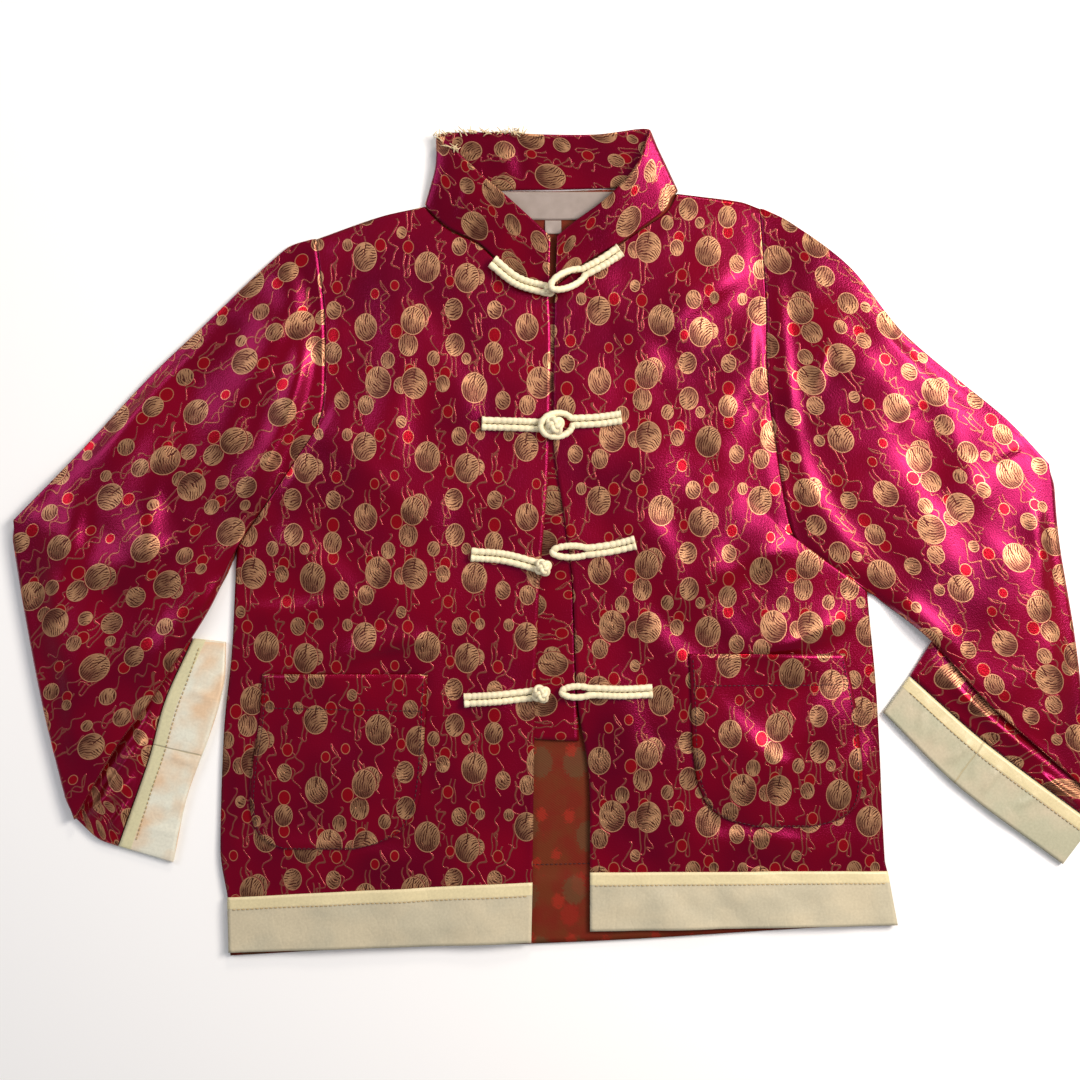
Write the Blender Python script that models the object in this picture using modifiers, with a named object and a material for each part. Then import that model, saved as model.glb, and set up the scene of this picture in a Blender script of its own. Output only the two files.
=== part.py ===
"""A tang jacket laid flat on a surface, front up, both sleeves folded under at the forearm.

Blender 4.5. The tables are in millimetres. +X runs to the wearer's left, +Y to the
collar and +Z up, with the origin on the underside of the back panel, on the surface.
Left and right are the wearer's.
"""

import math

import bmesh
import bpy
import numpy as np

MM = 0.001

# Driving dimensions
CLOTH = 1.2  # wall of the brocade panels
BAND = 1.2  # wall of a cream band
COLLAR_CLOTH = 2.0  # the collar is brocade on both faces
LABEL_CLOTH = 0.6
GAP = 0.3  # between layers that touch
SEAM = 0.5  # between the edges of two panels at a seam
LAYER = CLOTH + GAP
SLEEVE_HOLLOW = 1.8  # between the two walls of a flat sleeve
SLEEVE_STACK = 2 * CLOTH + SLEEVE_HOLLOW
CORD_RADIUS = 2.6  # one of the two cords of a frog
CORD_SPACING = 2.8  # from the middle of a frog's arm to each of its cords

# Edges of the panels: one row for each place where the edge turns. Columns x, y.
SHOULDER_RIGHT = [(-109, 275), (-144, 267), (-195, 249)]
SHOULDER_LEFT = [(94, 285.5), (144, 279), (160, 273.5)]
ARMHOLE_RIGHT = [(-195, 249), (-189, 195), (-188, 149), (-192, 106), (-212, 72), (-259, 2)]
ARMHOLE_LEFT = [(160, 273.5), (165, 198), (166, 141), (172, 90), (186, 14), (205, -4), (246, -32)]
SIDE_RIGHT = [(-259, 2), (-263, -82), (-269, -141), (-272, -240), (-266, -278), (-265, -322)]
SIDE_LEFT = [(246, -32), (254, -120), (260, -248), (262, -257), (270, -300)]
NECK_RIGHT = [(-109, 275), (-90, 257), (-66, 245), (-51, 232), (-32, 219), (-9, 207)]
NECK_LEFT = [(94, 285.5), (86, 271), (65, 256.5), (48, 245), (19, 228.5), (-4, 210.5)]
EDGE_RIGHT = [(-9, 207), (-7.5, 168), (-9.6, 62), (-16, -22), (-20, -120), (-22, -266), (-23, -314)]
EDGE_LEFT = [(-4, 210.5), (-5, 84), (3, 29), (10, -26), (14, -120), (23, -179), (24, -258), (24, -305)]
NECK_BACK = [(-109, 275), (-60, 286.5), (0, 288), (50, 289), (94, 285.5)]
HEM_BACK = [(-264, -325), (-152, -319), (-23, -315.5), (64, -311.5), (166, -305), (269, -299)]

# Sleeves. The fold is the middle line round which the forearm turns under.
SLEEVES = {
    "right": {
        "armhole": ARMHOLE_RIGHT,
        "top": [(-195, 249), (-220, 240), (-288, 176), (-330, 136), (-402, 58), (-436, 23)],
        "low": [(-259, 2), (-280, -46), (-310, -93), (-330, -124), (-354, -156), (-388, -214)],
        "fold": [(-436, 23), (-425, -46), (-409, -129), (-388, -214)],
        "hidden": [(-436, 23), (-360, -34), (-295, -72)],
        "free": [(-388, -214), (-370, -230), (-354, -236)],
        "cuff_seam": [(-295, -72), (-317, -121), (-330, -168), (-354, -236)],
        "cuff_edge": [(-268, -75), (-270, -110), (-282, -151), (-299, -197), (-310, -249)],
        "outward": (-0.98, 0.2),
    },
    "left": {
        "armhole": ARMHOLE_LEFT,
        "top": [(160, 273.5), (184, 262), (232, 226), (276, 172), (352, 108), (390, 68)],
        "low": [(246, -32), (295, -71), (340, -120), (383, -158), (422, -192)],
        "fold": [(390, 68), (395, 8), (408, -72), (422, -192)],
        "hidden": [(390, 68), (330, -25), (281.6, -101.6)],
        "free": [(422, -192), (426, -206), (427, -218)],
        "cuff_seam": [(281.6, -101.6), (340, -153), (427, -218)],
        "cuff_edge": [(260, -131), (320, -190), (402, -251)],
        "outward": (0.995, 0.07),
    },
}

# The largest folds of the cloth: soft ridges, or troughs where the height is negative.
# Columns: x and y of one end, x and y of the other, half width, height.
FOLDS = {
    "front_right": [
        (-196, 120, -120, 40, 26, 1.6),
        (-250, -30, -150, -60, 22, 1.2),
        (-150, 200, -60, 90, 24, 1.2),
    ],
    "front_left": [
        (168, 180, 90, 60, 26, 1.6),
        (185, 10, 80, -40, 24, 1.4),
        (240, -60, 150, -74, 14, 1.4),
    ],
    "right": [
        (-215, 190, -330, 60, 30, 1.5),
        (-215, 100, -300, -10, 24, 1.5),
        (-300, 150, -420, -60, 30, 1.3),
    ],
    "left": [
        (180, 200, 300, 110, 26, 1.5),
        (190, 130, 290, 20, 26, 1.5),
        (250, 180, 400, -60, 30, 1.3),
    ],
}

# The collar's rows, from the right front end round the neck to the left front end.
# Columns: seam x, y, z and top x, y, z of the middle of the wall.
COLLAR_ROWS = [
    (-8.5, 208.2, 4.2, -7.5, 250.5, 6.0),
    (-31.5, 220.2, 4.5, -20, 262, 8.0),
    (-50.5, 233.2, 4.5, -40, 280, 9.5),
    (-65.5, 246.2, 4.5, -62, 299, 10.5),
    (-89.5, 258.4, 4.0, -84, 319, 10.0),
    (-104, 271.5, 3.4, -95, 326, 8.0),
    (-107.5, 277.5, 2.3, -98, 331, 5.5),
    (-100, 281, 1.2, -91, 334, 3.4),
    (-60, 287.6, 1.1, -50, 334.5, 2.6),
    (0, 289.2, 1.1, -12, 333, 2.4),
    (50, 290.2, 1.1, 30, 333, 2.6),
    (84, 289.5, 1.2, 62, 337, 3.4),
    (94, 287.5, 2.3, 71, 336, 6.0),
    (89, 282, 3.4, 69, 328, 8.5),
    (83.6, 272, 4.0, 65, 315, 10.0),
    (64.5, 257.4, 4.5, 55, 299, 10.5),
    (47.5, 245.8, 4.5, 36, 280, 9.5),
    (19, 229.4, 4.5, 14, 264, 8.0),
    (-3.5, 211.8, 4.2, -2.5, 251, 6.0),
]

COLLAR_STEPS = 38
COLLAR_HEIGHT_STEPS = 3

# Patch pockets. Columns: y, x of the side nearer the front edge, x of the outer side.
POCKETS = {
    "right": [
        (-99, -106, -238),
        (-140, -108, -241),
        (-180, -110.5, -247),
        (-205, -114.5, -248),
        (-222, -124, -244.5),
        (-233, -142, -235),
        (-239, -165, -219),
    ],
    "left": [
        (-83, 103, 228),
        (-122, 105, 236),
        (-160, 106.5, 240),
        (-187, 110.5, 241),
        (-205, 119, 237),
        (-215, 133, 224),
        (-221, 158, 200),
    ],
}

AIR = 0.8  # how far a front stands off what it lies on
# The placket's corners: columns x, y.
PLACKET = [(-32, 198), (6, 198), (15, -153), (-32, -151)]
# Labels. Columns: lowest and highest x, lowest and highest y, height of the underside.
LABEL = (-50, 42, 264.8, 287.2, LAYER)
SIZE_TAG = (-12, 1, 253.5, 264.3, LAYER)

# Colour and roughness of each finish.
FINISHES = {
    "brocade": ((0.26, 0.01, 0.05), 0.45),
    "satin": ((0.74, 0.7, 0.55), 0.5),
    "cord": ((0.8, 0.76, 0.6), 0.55),
    "label": ((0.78, 0.74, 0.66), 0.5),
}


# Frogs, from the collar down. Each arm runs from its cut outer end to the middle.
# Columns of knot: x, y of the outer end, of the arm's middle and of the knot.
# Columns of loop: x, y of the outer end, of the loop's neck and of its tip.
# lift is how far the loop's tip rises to pass over the knot, and raised is how far the
# frog lies above the front, where it crosses the collar's seam.
FROGS = [
    {
        "knot": [(-54, 230), (-34, 214.5), (-9, 207)],
        "knot_radius": 3.9,
        "loop": [(48, 239), (20, 222), (-7, 208)],
        "half_width": 6.2,
        "lift": 8.6,
        "raised": 2.6,
    },
    {
        "knot": [(-62.5, 101), (-30, 100), (-4.8, 99)],
        "knot_radius": 6.0,
        "loop": [(49, 106), (10, 102.5), (-15, 97)],
        "half_width": 9.3,
        "lift": 6.4,
        "raised": 0.0,
    },
    {
        "knot": [(-71, -3.6), (-44, -6), (-13.5, -14)],
        "knot_radius": 6.0,
        "loop": [(60, 6), (24, -1), (-6, -1.5)],
        "half_width": 4.6,
        "lift": 0.0,
        "raised": 0.0,
    },
    {
        "knot": [(-76.5, -120), (-48, -118), (-15.2, -114.5)],
        "knot_radius": 6.4,
        "loop": [(73.5, -112.5), (26, -113), (1.5, -113.5)],
        "half_width": 4.4,
        "lift": 0.0,
        "raised": 0.0,
    },
]


# Working out points


def ease(t):
    """0 below 0, 1 above 1, and a smooth step between."""
    t = np.clip(t, 0.0, 1.0)
    return t * t * (3.0 - 2.0 * t)


def along(points, steps):
    """steps + 1 points, evenly spaced along the smooth line through the given points."""
    p = np.array(points, float)
    before = np.vstack([2 * p[0] - p[1], p[:-1]])
    after = np.vstack([p[1:], 2 * p[-1] - p[-2]])
    tangent = (after - before) / 2
    length = np.linalg.norm(tangent, axis=1, keepdims=True)
    t = np.linspace(0.0, 1.0, 24, endpoint=False)[:, None]
    stretches = []
    for i in range(len(p) - 1):
        reach = np.linalg.norm(p[i + 1] - p[i])
        leaving = tangent[i] * np.minimum(1.0, reach / length[i])
        arriving = tangent[i + 1] * np.minimum(1.0, reach / length[i + 1])
        stretches.append(
            (2 * t**3 - 3 * t**2 + 1) * p[i]
            + (t**3 - 2 * t**2 + t) * leaving
            + (3 * t**2 - 2 * t**3) * p[i + 1]
            + (t**3 - t**2) * arriving
        )
    line = np.vstack([*stretches, p[-1]])
    run = np.concatenate([[0.0], np.cumsum(np.linalg.norm(np.diff(line, axis=0), axis=1))])
    wanted = np.linspace(0.0, run[-1], steps + 1)
    return np.column_stack([np.interp(wanted, run, line[:, k]) for k in range(p.shape[1])])


def joined(*lines):
    """Lines that follow on from each other as one, each meeting point kept once."""
    return np.vstack([lines[0], *[line[1:] for line in lines[1:]]])


def sheet_between(first, last, near, far, lean=1.0):
    """The sheet that blends four edges (a Coons patch): rows run from first to last, and
    each row runs from its point on near to its point on far. With a lean above 1 the rows
    follow near further across, and turn to follow far close to it."""
    v = np.linspace(0, 1, len(near))[:, None, None]
    u = np.linspace(0, 1, len(first))[None, :, None] ** lean
    lengthways = (1 - v) * first[None] + v * last[None]
    sideways = (1 - u) * near[:, None] + u * far[:, None]
    start = (1 - u) * first[0] + u * first[-1]
    end = (1 - u) * last[0] + u * last[-1]
    return lengthways + sideways - (1 - v) * start - v * end


def refined(grid, times):
    """The grid with more steps each way, its new points on the old facets."""
    for axis in (0, 1):
        steps = grid.shape[axis] - 1
        place = np.linspace(0, steps, steps * times + 1)
        low = np.minimum(place.astype(int), steps - 1)
        share = (place - low).reshape([-1 if k == axis else 1 for k in range(3)])
        grid = np.take(grid, low, axis) * (1 - share) + np.take(grid, low + 1, axis) * share
    return grid


def fold_height(x, y, folds):
    """Height of the folds at x, y: a bell across each fold that fades out at its ends."""
    total = np.zeros_like(x)
    for x0, y0, x1, y1, half_width, height in folds:
        length = math.hypot(x1 - x0, y1 - y0)
        dx, dy = (x1 - x0) / length, (y1 - y0) / length
        run = ((x - x0) * dx + (y - y0) * dy) / length
        off = (x - x0) * dy - (y - y0) * dx
        fade = ease(run / 0.3) * ease((1 - run) / 0.3)
        total += height * fade * np.exp(-((off / half_width) ** 2))
    return total


def with_height(grid, z):
    """A grid of x, y points given its heights."""
    return np.dstack([grid, np.broadcast_to(z, grid.shape[:2])])


def height_on(panel, points):
    """Height of a panel's underside at x, y points, from its facets."""
    facets = refined(panel, 8).reshape(-1, 3)
    flat = points.reshape(-1, points.shape[-1])
    away = (facets[None, :, 0] - flat[:, None, 0]) ** 2 + (facets[None, :, 1] - flat[:, None, 1]) ** 2
    return facets[away.argmin(axis=1), 2].reshape(points.shape[:-1])


def facing_up(grid):
    """The grid with its first cell's face pointing up."""
    down, across = grid[1, 0] - grid[0, 0], grid[0, 1] - grid[0, 0]
    return grid if np.cross(down, across)[2] > 0 else grid[:, ::-1]


# Making objects


def look(name, finish):
    """A material of the object's own, in one of the jacket's finishes."""
    rgb, roughness = FINISHES[finish]
    made = bpy.data.materials.new(name)
    made.use_nodes = True
    shader = made.node_tree.nodes["Principled BSDF"]
    shader.inputs["Base Color"].default_value = (*rgb, 1.0)
    shader.inputs["Roughness"].default_value = roughness
    shader.inputs["Metallic"].default_value = 0.0
    return made


def add_object(name, mesh, finish):
    made = bpy.data.objects.new(name, mesh)
    parts.objects.link(made)
    mesh.materials.append(look(name, finish))
    mesh.shade_smooth()
    return made


def cloth_wall(name, grid, thickness, finish, ring=False, offset=1.0):
    """A wall of cloth on a grid of points in millimetres. It grows to the side that the
    grid's faces point to (offset 1), away from it (-1), or both ways (0). ring joins each
    row's end to its start."""
    rows, across = grid.shape[:2]
    index = np.arange(rows * across).reshape(rows, across)
    if ring:
        index = np.hstack([index, index[:, :1]])
    faces = np.stack([index[:-1, :-1], index[1:, :-1], index[1:, 1:], index[:-1, 1:]], axis=-1)
    mesh = bpy.data.meshes.new(name)
    mesh.from_pydata((grid.reshape(-1, 3) * MM).tolist(), [], faces.reshape(-1, 4).tolist())
    mesh.update()
    made = add_object(name, mesh, finish)
    wall = made.modifiers.new("wall", "SOLIDIFY")
    wall.thickness = thickness * MM
    wall.offset = offset
    wall.use_rim = True
    return made


def cord_mesh(name, path):
    """A closed mesh of a round cord along a path in millimetres."""
    curve = bpy.data.curves.new(name, "CURVE")
    curve.dimensions = "3D"
    curve.bevel_depth = CORD_RADIUS * MM
    curve.bevel_resolution = 2
    curve.use_fill_caps = True
    spline = curve.splines.new("POLY")
    spline.points.add(len(path) - 1)
    spline.points.foreach_set("co", np.column_stack([path * MM, np.ones(len(path))]).ravel())
    guide = bpy.data.objects.new(name, curve)
    parts.objects.link(guide)
    bpy.context.view_layer.update()
    graph = bpy.context.evaluated_depsgraph_get()
    mesh = bpy.data.meshes.new_from_object(guide.evaluated_get(graph))
    bpy.data.objects.remove(guide)
    bm = bmesh.new()
    bm.from_mesh(mesh)
    bmesh.ops.remove_doubles(bm, verts=bm.verts, dist=1e-6)
    bmesh.ops.recalc_face_normals(bm, faces=bm.faces)
    bm.to_mesh(mesh)
    bm.free()
    mesh.materials.clear()
    return mesh


# Panels of the body

# Steps of the panels' grids. The neck and edge together have as many as the armhole and side.
ACROSS_FRONT = 12
NECK_STEPS = 5
EDGE_STEPS = 13
ARMHOLE_STEPS = 8
SIDE_STEPS = 10
BACK_SIDE_STEPS = 8
SHOULDER_STEPS = 4
BACK_NECK_STEPS = 8
HEM_ROWS = 2
POCKET_STEPS = 9
PLACKET_STEPS = 8


def front_panel(neck, edge, armhole, side, shoulder, folds):
    """Underside of a front, its rows from the front edge to the side and from the shoulder
    to the hem. It lies on the back at the side and shoulder, and on the placket at the front
    edge, with a little air under it between them."""
    near = joined(along(neck, NECK_STEPS), along(edge[:-1], EDGE_STEPS), along(edge[-2:], HEM_ROWS))
    far = joined(along(armhole, ARMHOLE_STEPS), along(side[:-1], SIDE_STEPS), along(side[-2:], HEM_ROWS))
    first = along(shoulder, ACROSS_FRONT)
    last = along([near[-1], far[-1]], ACROSS_FRONT)
    flat = sheet_between(first, last, near, far)
    v = np.linspace(0, 1, len(near))[:, None]
    u = np.linspace(0, 1, len(first))[None]
    over_placket = ease(v / 0.12) * (1 - ease((u - 0.55) / 0.4))
    over_hem = ease((v - 0.78) / 0.12)
    inside = np.sin(math.pi * u) * np.sqrt(np.sin(math.pi * v).clip(0, 1))
    folded = fold_height(flat[..., 0], flat[..., 1], folds) * ease(inside / 0.3)
    rise = np.maximum(over_placket, over_hem)
    return with_height(flat, LAYER * (1 + rise) + AIR * inside**2 + folded)


def back_panel():
    """Underside of the back: flat on the surface, and a step up over its own hem band."""
    first = joined(
        along(SHOULDER_RIGHT[::-1], SHOULDER_STEPS),
        along(NECK_BACK, BACK_NECK_STEPS),
        along(SHOULDER_LEFT, SHOULDER_STEPS),
    )
    last = along(HEM_BACK, len(first) - 1)
    near, far = (
        joined(
            along(armhole, ARMHOLE_STEPS),
            along(side[:-1], BACK_SIDE_STEPS),
            along(side[-2:], HEM_ROWS),
        )
        for armhole, side in ((ARMHOLE_RIGHT, SIDE_RIGHT), (ARMHOLE_LEFT, SIDE_LEFT))
    )
    near[-1], far[-1] = last[0], last[-1]
    flat = sheet_between(first, last, near, far)
    height = np.zeros(flat.shape[:2])
    height[-1 - HEM_ROWS :] = BAND + GAP
    return with_height(flat, height)


def hem_band(panel, lift):
    """A hem band, made of the panel's own last rows moved up or down."""
    return panel[-1 - HEM_ROWS :] + [0, 0, lift]


def pocket(rows, panel):
    """A patch pocket: rows of points from its inner to its outer side, on the front's facets
    and moved out."""
    table = np.array(rows, float)
    inner = along(table[:, [1, 0]], POCKET_STEPS)
    outer = along(table[:, [2, 0]], POCKET_STEPS)
    share = np.linspace(0, 1, POCKET_STEPS)[None, :, None]
    flat = inner[:, None] * (1 - share) + outer[:, None] * share
    return with_height(flat, height_on(panel, flat) + CLOTH + 2 * GAP)


# Sleeves

ACROSS_SLEEVE = 8
ALONG_SLEEVE = 8
ALONG_FOREARM = 4
ALONG_CUFF = 4
TURN_STEPS = 4


def ring_of(upper, lower, bulge):
    """Rows that run over the upper wall and back under the lower one, with a rounded edge
    between them at each side."""
    start = (upper[:, 0] + lower[:, 0]) / 2
    end = (upper[:, -1] + lower[:, -1]) / 2
    for middle, edge, inner in ((start, upper[:, 0], upper[:, 1]), (end, upper[:, -1], upper[:, -2])):
        away = (edge - inner) * [1, 1, 0]
        middle += away / np.linalg.norm(away, axis=1, keepdims=True) * bulge[:, None]
    return np.concatenate([upper, end[:, None], lower[:, ::-1], start[:, None]], axis=1)


def sleeve_tube(shape, folds):
    """Outside of a sleeve: a flat tube from the armhole to the fold, half a turn round the
    fold line, and the forearm back underneath to the cuff's seam."""
    fold = along(shape["fold"], ACROSS_SLEEVE)
    outward = np.array([*shape["outward"], 0.0])
    armhole = along(shape["armhole"], ACROSS_SLEEVE) + outward[:2] * SEAM
    near = along([armhole[0], *shape["top"][1:]], ALONG_SLEEVE)
    far = along([armhole[-1], *shape["low"][1:]], ALONG_SLEEVE)
    above = sheet_between(armhole, fold, near, far, lean=2.5)
    below = sheet_between(
        fold,
        along(shape["cuff_seam"], ACROSS_SLEEVE),
        along(shape["hidden"], ALONG_FOREARM),
        along(shape["free"], ALONG_FOREARM),
    )
    t = np.linspace(0, 1, len(near))[:, None]
    u = np.linspace(0, 1, ACROSS_SLEEVE + 1)[None]
    over_forearm = ease((t - 0.7 + 0.65 * u) / 0.22)
    under_side = over_forearm * (SLEEVE_STACK + GAP)
    inside = np.sin(math.pi * u) * np.sin(math.pi * t)
    raised = fold_height(above[..., 0], above[..., 1], folds) * ease(inside / 0.3)
    opened = 2 * CLOTH + GAP + (SLEEVE_STACK - 2 * CLOTH - GAP) * ease(t / 0.25)
    upper = with_height(above, under_side + opened + raised)
    lower = with_height(above, under_side)
    turn = np.linspace(0, math.pi, TURN_STEPS + 1)[1:-1, None, None]
    middle = with_height(fold[None], SLEEVE_STACK + GAP / 2)
    up = np.array([0.0, 0.0, 1.0])
    swing = np.sin(turn) * outward + np.cos(turn) * up
    forearm_under = with_height(below, 0.0)
    forearm_over = with_height(below, SLEEVE_STACK)
    outside = np.concatenate([upper, middle + swing * (SLEEVE_STACK + GAP / 2), forearm_under])
    inner = np.concatenate([lower, middle + swing * GAP / 2, forearm_over])
    bulge = np.full(len(outside), SLEEVE_STACK / 3)
    bulge[0] = 0.0
    return ring_of(outside, inner, bulge)


def cuff_ring(shape):
    """Outside of a cuff: a flat ring from the sleeve's end to its open edge."""
    seam = along(shape["cuff_seam"], ACROSS_SLEEVE)
    edge = along(shape["cuff_edge"], ACROSS_SLEEVE)
    share = np.linspace(0, 1, ALONG_CUFF)[:, None, None]
    away = (edge - seam) / np.linalg.norm(edge - seam, axis=1, keepdims=True)
    flat = (seam + away * 2 * SEAM)[None] * (1 - share) + edge[None] * share
    upper, lower = with_height(flat, SLEEVE_STACK), with_height(flat, 0.0)
    return ring_of(upper, lower, np.full(len(upper), SLEEVE_STACK / 3))


# Frogs


def beside(line, distance):
    """The line moved sideways by a distance, in the plane."""
    run = np.gradient(line, axis=0)
    run /= np.linalg.norm(run, axis=1, keepdims=True)
    return line + np.column_stack([-run[:, 1], run[:, 0]]) * distance


def knot_path(points):
    """A cord from its cut end to the knot, round inside it and back beside itself."""
    arm = along(points, 6)
    go, back = beside(arm, CORD_SPACING), beside(arm, -CORD_SPACING)
    run = (arm[-1] - arm[-2]) / np.linalg.norm(arm[-1] - arm[-2])
    return np.vstack([go, arm[-1] + run * CORD_SPACING, back[::-1]])


def loop_path(points, half_width):
    """A cord from its cut end to the loop's neck, round an ellipse to the tip, and back.
    Also how far each point is on the way from the neck to the tip."""
    outer, neck, tip = np.array(points, float)
    centre, half = (neck + tip) / 2, (tip - neck) / 2
    run = half / np.linalg.norm(half)
    side = np.array([-run[1], run[0]])
    joins = math.pi - math.asin(CORD_SPACING / half_width)
    turn = np.linspace(joins, -joins, 15)[:, None]
    loop = centre + half * np.cos(turn) + side * half_width * np.sin(turn)
    arm = along([outer, neck], 4)
    go, back = beside(arm, CORD_SPACING)[:-1], beside(arm, -CORD_SPACING)[:-1]
    path = np.vstack([go, loop, back[::-1]])
    return path, ((path - neck) @ run) / np.linalg.norm(tip - neck)


def ball_mesh(name, centre, radius):
    bm = bmesh.new()
    bmesh.ops.create_uvsphere(bm, u_segments=12, v_segments=8, radius=radius * MM)
    bmesh.ops.translate(bm, verts=bm.verts, vec=[c * MM for c in centre])
    mesh = bpy.data.meshes.new(name)
    bm.to_mesh(mesh)
    bm.free()
    return mesh


def on_front(path, panel, height):
    return np.column_stack([path, height_on(panel, path) + CLOTH + GAP + height])


def frog(number, row, right, left):
    """One closure: the knot half on the right front and the loop half on the left front."""
    path = on_front(knot_path(row["knot"]), right, CORD_RADIUS + row["raised"])
    arm = add_object(f"frog_knot_{number}", cord_mesh("arm", path), "cord")
    x, y = row["knot"][-1]
    level = height_on(right, np.array([[x, y]], float))[0] + CLOTH + GAP + row["raised"]
    radius = row["knot_radius"]
    ball = bpy.data.objects.new(
        f"knot_{number}", ball_mesh("knot", (x, y, level + radius), radius)
    )
    cutters.objects.link(ball)
    ball.hide_render = True
    ball.display_type = "WIRE"
    tied = arm.modifiers.new("knot", "BOOLEAN")
    tied.operation = "UNION"
    tied.object = ball

    path, share = loop_path(row["loop"], row["half_width"])
    loop = on_front(path, left, CORD_RADIUS + row["raised"])
    loop[:, 2] += row["lift"] * ease(share)
    add_object(f"frog_loop_{number}", cord_mesh("loop", loop), "cord")


# The jacket

for old in list(bpy.data.objects):
    bpy.data.objects.remove(old, do_unlink=True)

parts = bpy.data.collections.new("tang_jacket")
cutters = bpy.data.collections.new("cutters")
for collection in (parts, cutters):
    bpy.context.scene.collection.children.link(collection)

front_right = front_panel(
    NECK_RIGHT, EDGE_RIGHT, ARMHOLE_RIGHT, SIDE_RIGHT, SHOULDER_RIGHT, FOLDS["front_right"]
)
front_left = front_panel(
    NECK_LEFT, EDGE_LEFT, ARMHOLE_LEFT, SIDE_LEFT, SHOULDER_LEFT, FOLDS["front_left"]
)
back = back_panel()
back_band = hem_band(back, -BAND - GAP)

cloth_wall("back", facing_up(back), CLOTH, "brocade")
cloth_wall("hem_band_back", facing_up(back_band), BAND, "satin")
for side, panel in (("right", front_right), ("left", front_left)):
    cloth_wall(f"front_{side}", facing_up(panel), CLOTH, "brocade")
    cloth_wall(f"hem_band_{side}", facing_up(hem_band(panel, LAYER)), BAND, "satin")
    cloth_wall(f"pocket_{side}", facing_up(pocket(POCKETS[side], panel)), CLOTH, "brocade")
    tube = sleeve_tube(SLEEVES[side], FOLDS[side])
    cloth_wall(f"sleeve_{side}", facing_up(tube), CLOTH, "brocade", ring=True, offset=-1.0)
    ring = cuff_ring(SLEEVES[side])
    cloth_wall(f"cuff_{side}", facing_up(ring), BAND, "satin", ring=True, offset=-1.0)

strip = sheet_between(
    along(PLACKET[:2], 2),
    along(PLACKET[:1:-1], 2),
    along(PLACKET[::3], PLACKET_STEPS),
    along(PLACKET[1:3], PLACKET_STEPS),
)
cloth_wall("under_placket", facing_up(with_height(strip, LAYER)), CLOTH, "brocade")

rows = np.array(COLLAR_ROWS, float)
stand_seam = along(rows[:, :3], COLLAR_STEPS)
stand_top = along(rows[:, 3:], COLLAR_STEPS)
share = np.linspace(0, 1, COLLAR_HEIGHT_STEPS + 1)[None, :, None]
stand = stand_seam[:, None] * (1 - share) + stand_top[:, None] * share
cloth_wall("collar", stand, COLLAR_CLOTH, "brocade", offset=0.0)

for name, (x0, x1, y0, y1, z), steps in (("label", LABEL, 6), ("size_tag", SIZE_TAG, 2)):
    ends = [np.linspace((x0, y), (x1, y), steps + 1) for y in (y1, y0)]
    tag = with_height(np.stack(ends), z)
    cloth_wall(name, facing_up(tag), LABEL_CLOTH, "label")

for number, row in enumerate(FROGS, start=1):
    frog(number, row, front_right, front_left)
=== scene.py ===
"""A tang jacket in satin brocade, laid out flat on a pale floor and seen from straight above.

Lengths are in millimetres until a mesh is made. +X runs to the wearer's left, +Y to the
collar and +Z up. Left and right are the wearer's.
"""

import math

import bpy
import numpy as np
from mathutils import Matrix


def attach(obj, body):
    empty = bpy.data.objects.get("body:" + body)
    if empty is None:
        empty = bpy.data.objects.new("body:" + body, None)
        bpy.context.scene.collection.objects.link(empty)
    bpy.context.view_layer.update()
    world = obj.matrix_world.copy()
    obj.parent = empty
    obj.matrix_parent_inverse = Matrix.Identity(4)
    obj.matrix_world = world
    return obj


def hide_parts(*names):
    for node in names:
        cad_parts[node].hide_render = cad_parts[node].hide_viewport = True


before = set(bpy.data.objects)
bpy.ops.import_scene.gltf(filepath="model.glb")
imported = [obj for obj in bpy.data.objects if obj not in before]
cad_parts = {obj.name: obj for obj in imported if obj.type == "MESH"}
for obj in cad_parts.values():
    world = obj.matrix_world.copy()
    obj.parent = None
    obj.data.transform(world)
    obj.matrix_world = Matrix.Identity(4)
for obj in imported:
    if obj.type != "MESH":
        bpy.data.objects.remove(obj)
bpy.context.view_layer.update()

MM = 0.001

# The camera, the floor and the lights.
# A 50 mm lens looks straight down on the jacket from 1.2 m, as someone standing over it does.
# A window stands to the right over a pale studio floor, a wider and weaker one to the left,
# and a small low light beyond the collar. A skylight hangs where the left sleeve mirrors it.

VIEW_WIDTH = 864.0
VIEW_MIDDLE = (-16.0, 8.0)
LENS = 50.0
SENSOR = 36.0
CLOTH_LEVEL = 5.0
FLOOR_SIZE = 6000.0


def linear(colour):
    """An sRGB hex colour as linear red, green, blue and alpha."""
    parts = [int(colour[k : k + 2], 16) / 255 for k in (1, 3, 5)]
    return (*[c / 12.92 if c <= 0.04045 else ((c + 0.055) / 1.055) ** 2.4 for c in parts], 1.0)


def add(tree, kind, inputs=(), out=0, **settings):
    """Adds a shader node with its settings. The inputs, in order or by name, are values or
    other nodes' outputs. Gives back one of its outputs."""
    made = tree.nodes.new("ShaderNode" + kind)
    for name, value in settings.items():
        setattr(made, name, value)
    pairs = inputs.items() if isinstance(inputs, dict) else enumerate(inputs)
    for key, value in pairs:
        if isinstance(value, bpy.types.NodeSocket):
            tree.links.new(value, made.inputs[key])
        elif value is not None:
            made.inputs[key].default_value = value
    return made.outputs[out]


def maths(tree, operation, *values):
    """The result of a Math node."""
    return add(tree, "Math", values, operation=operation)


def vector(tree, operation, *values, out=0):
    """The result of a Vector Math node."""
    return add(tree, "VectorMath", values, out=out, operation=operation)


def mixed(tree, cover, under, over, **settings):
    """One colour over another, where cover is 1."""
    inputs = {0: cover, 6: under, 7: over}
    return add(tree, "Mix", inputs, out=2, data_type="RGBA", **settings)


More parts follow.
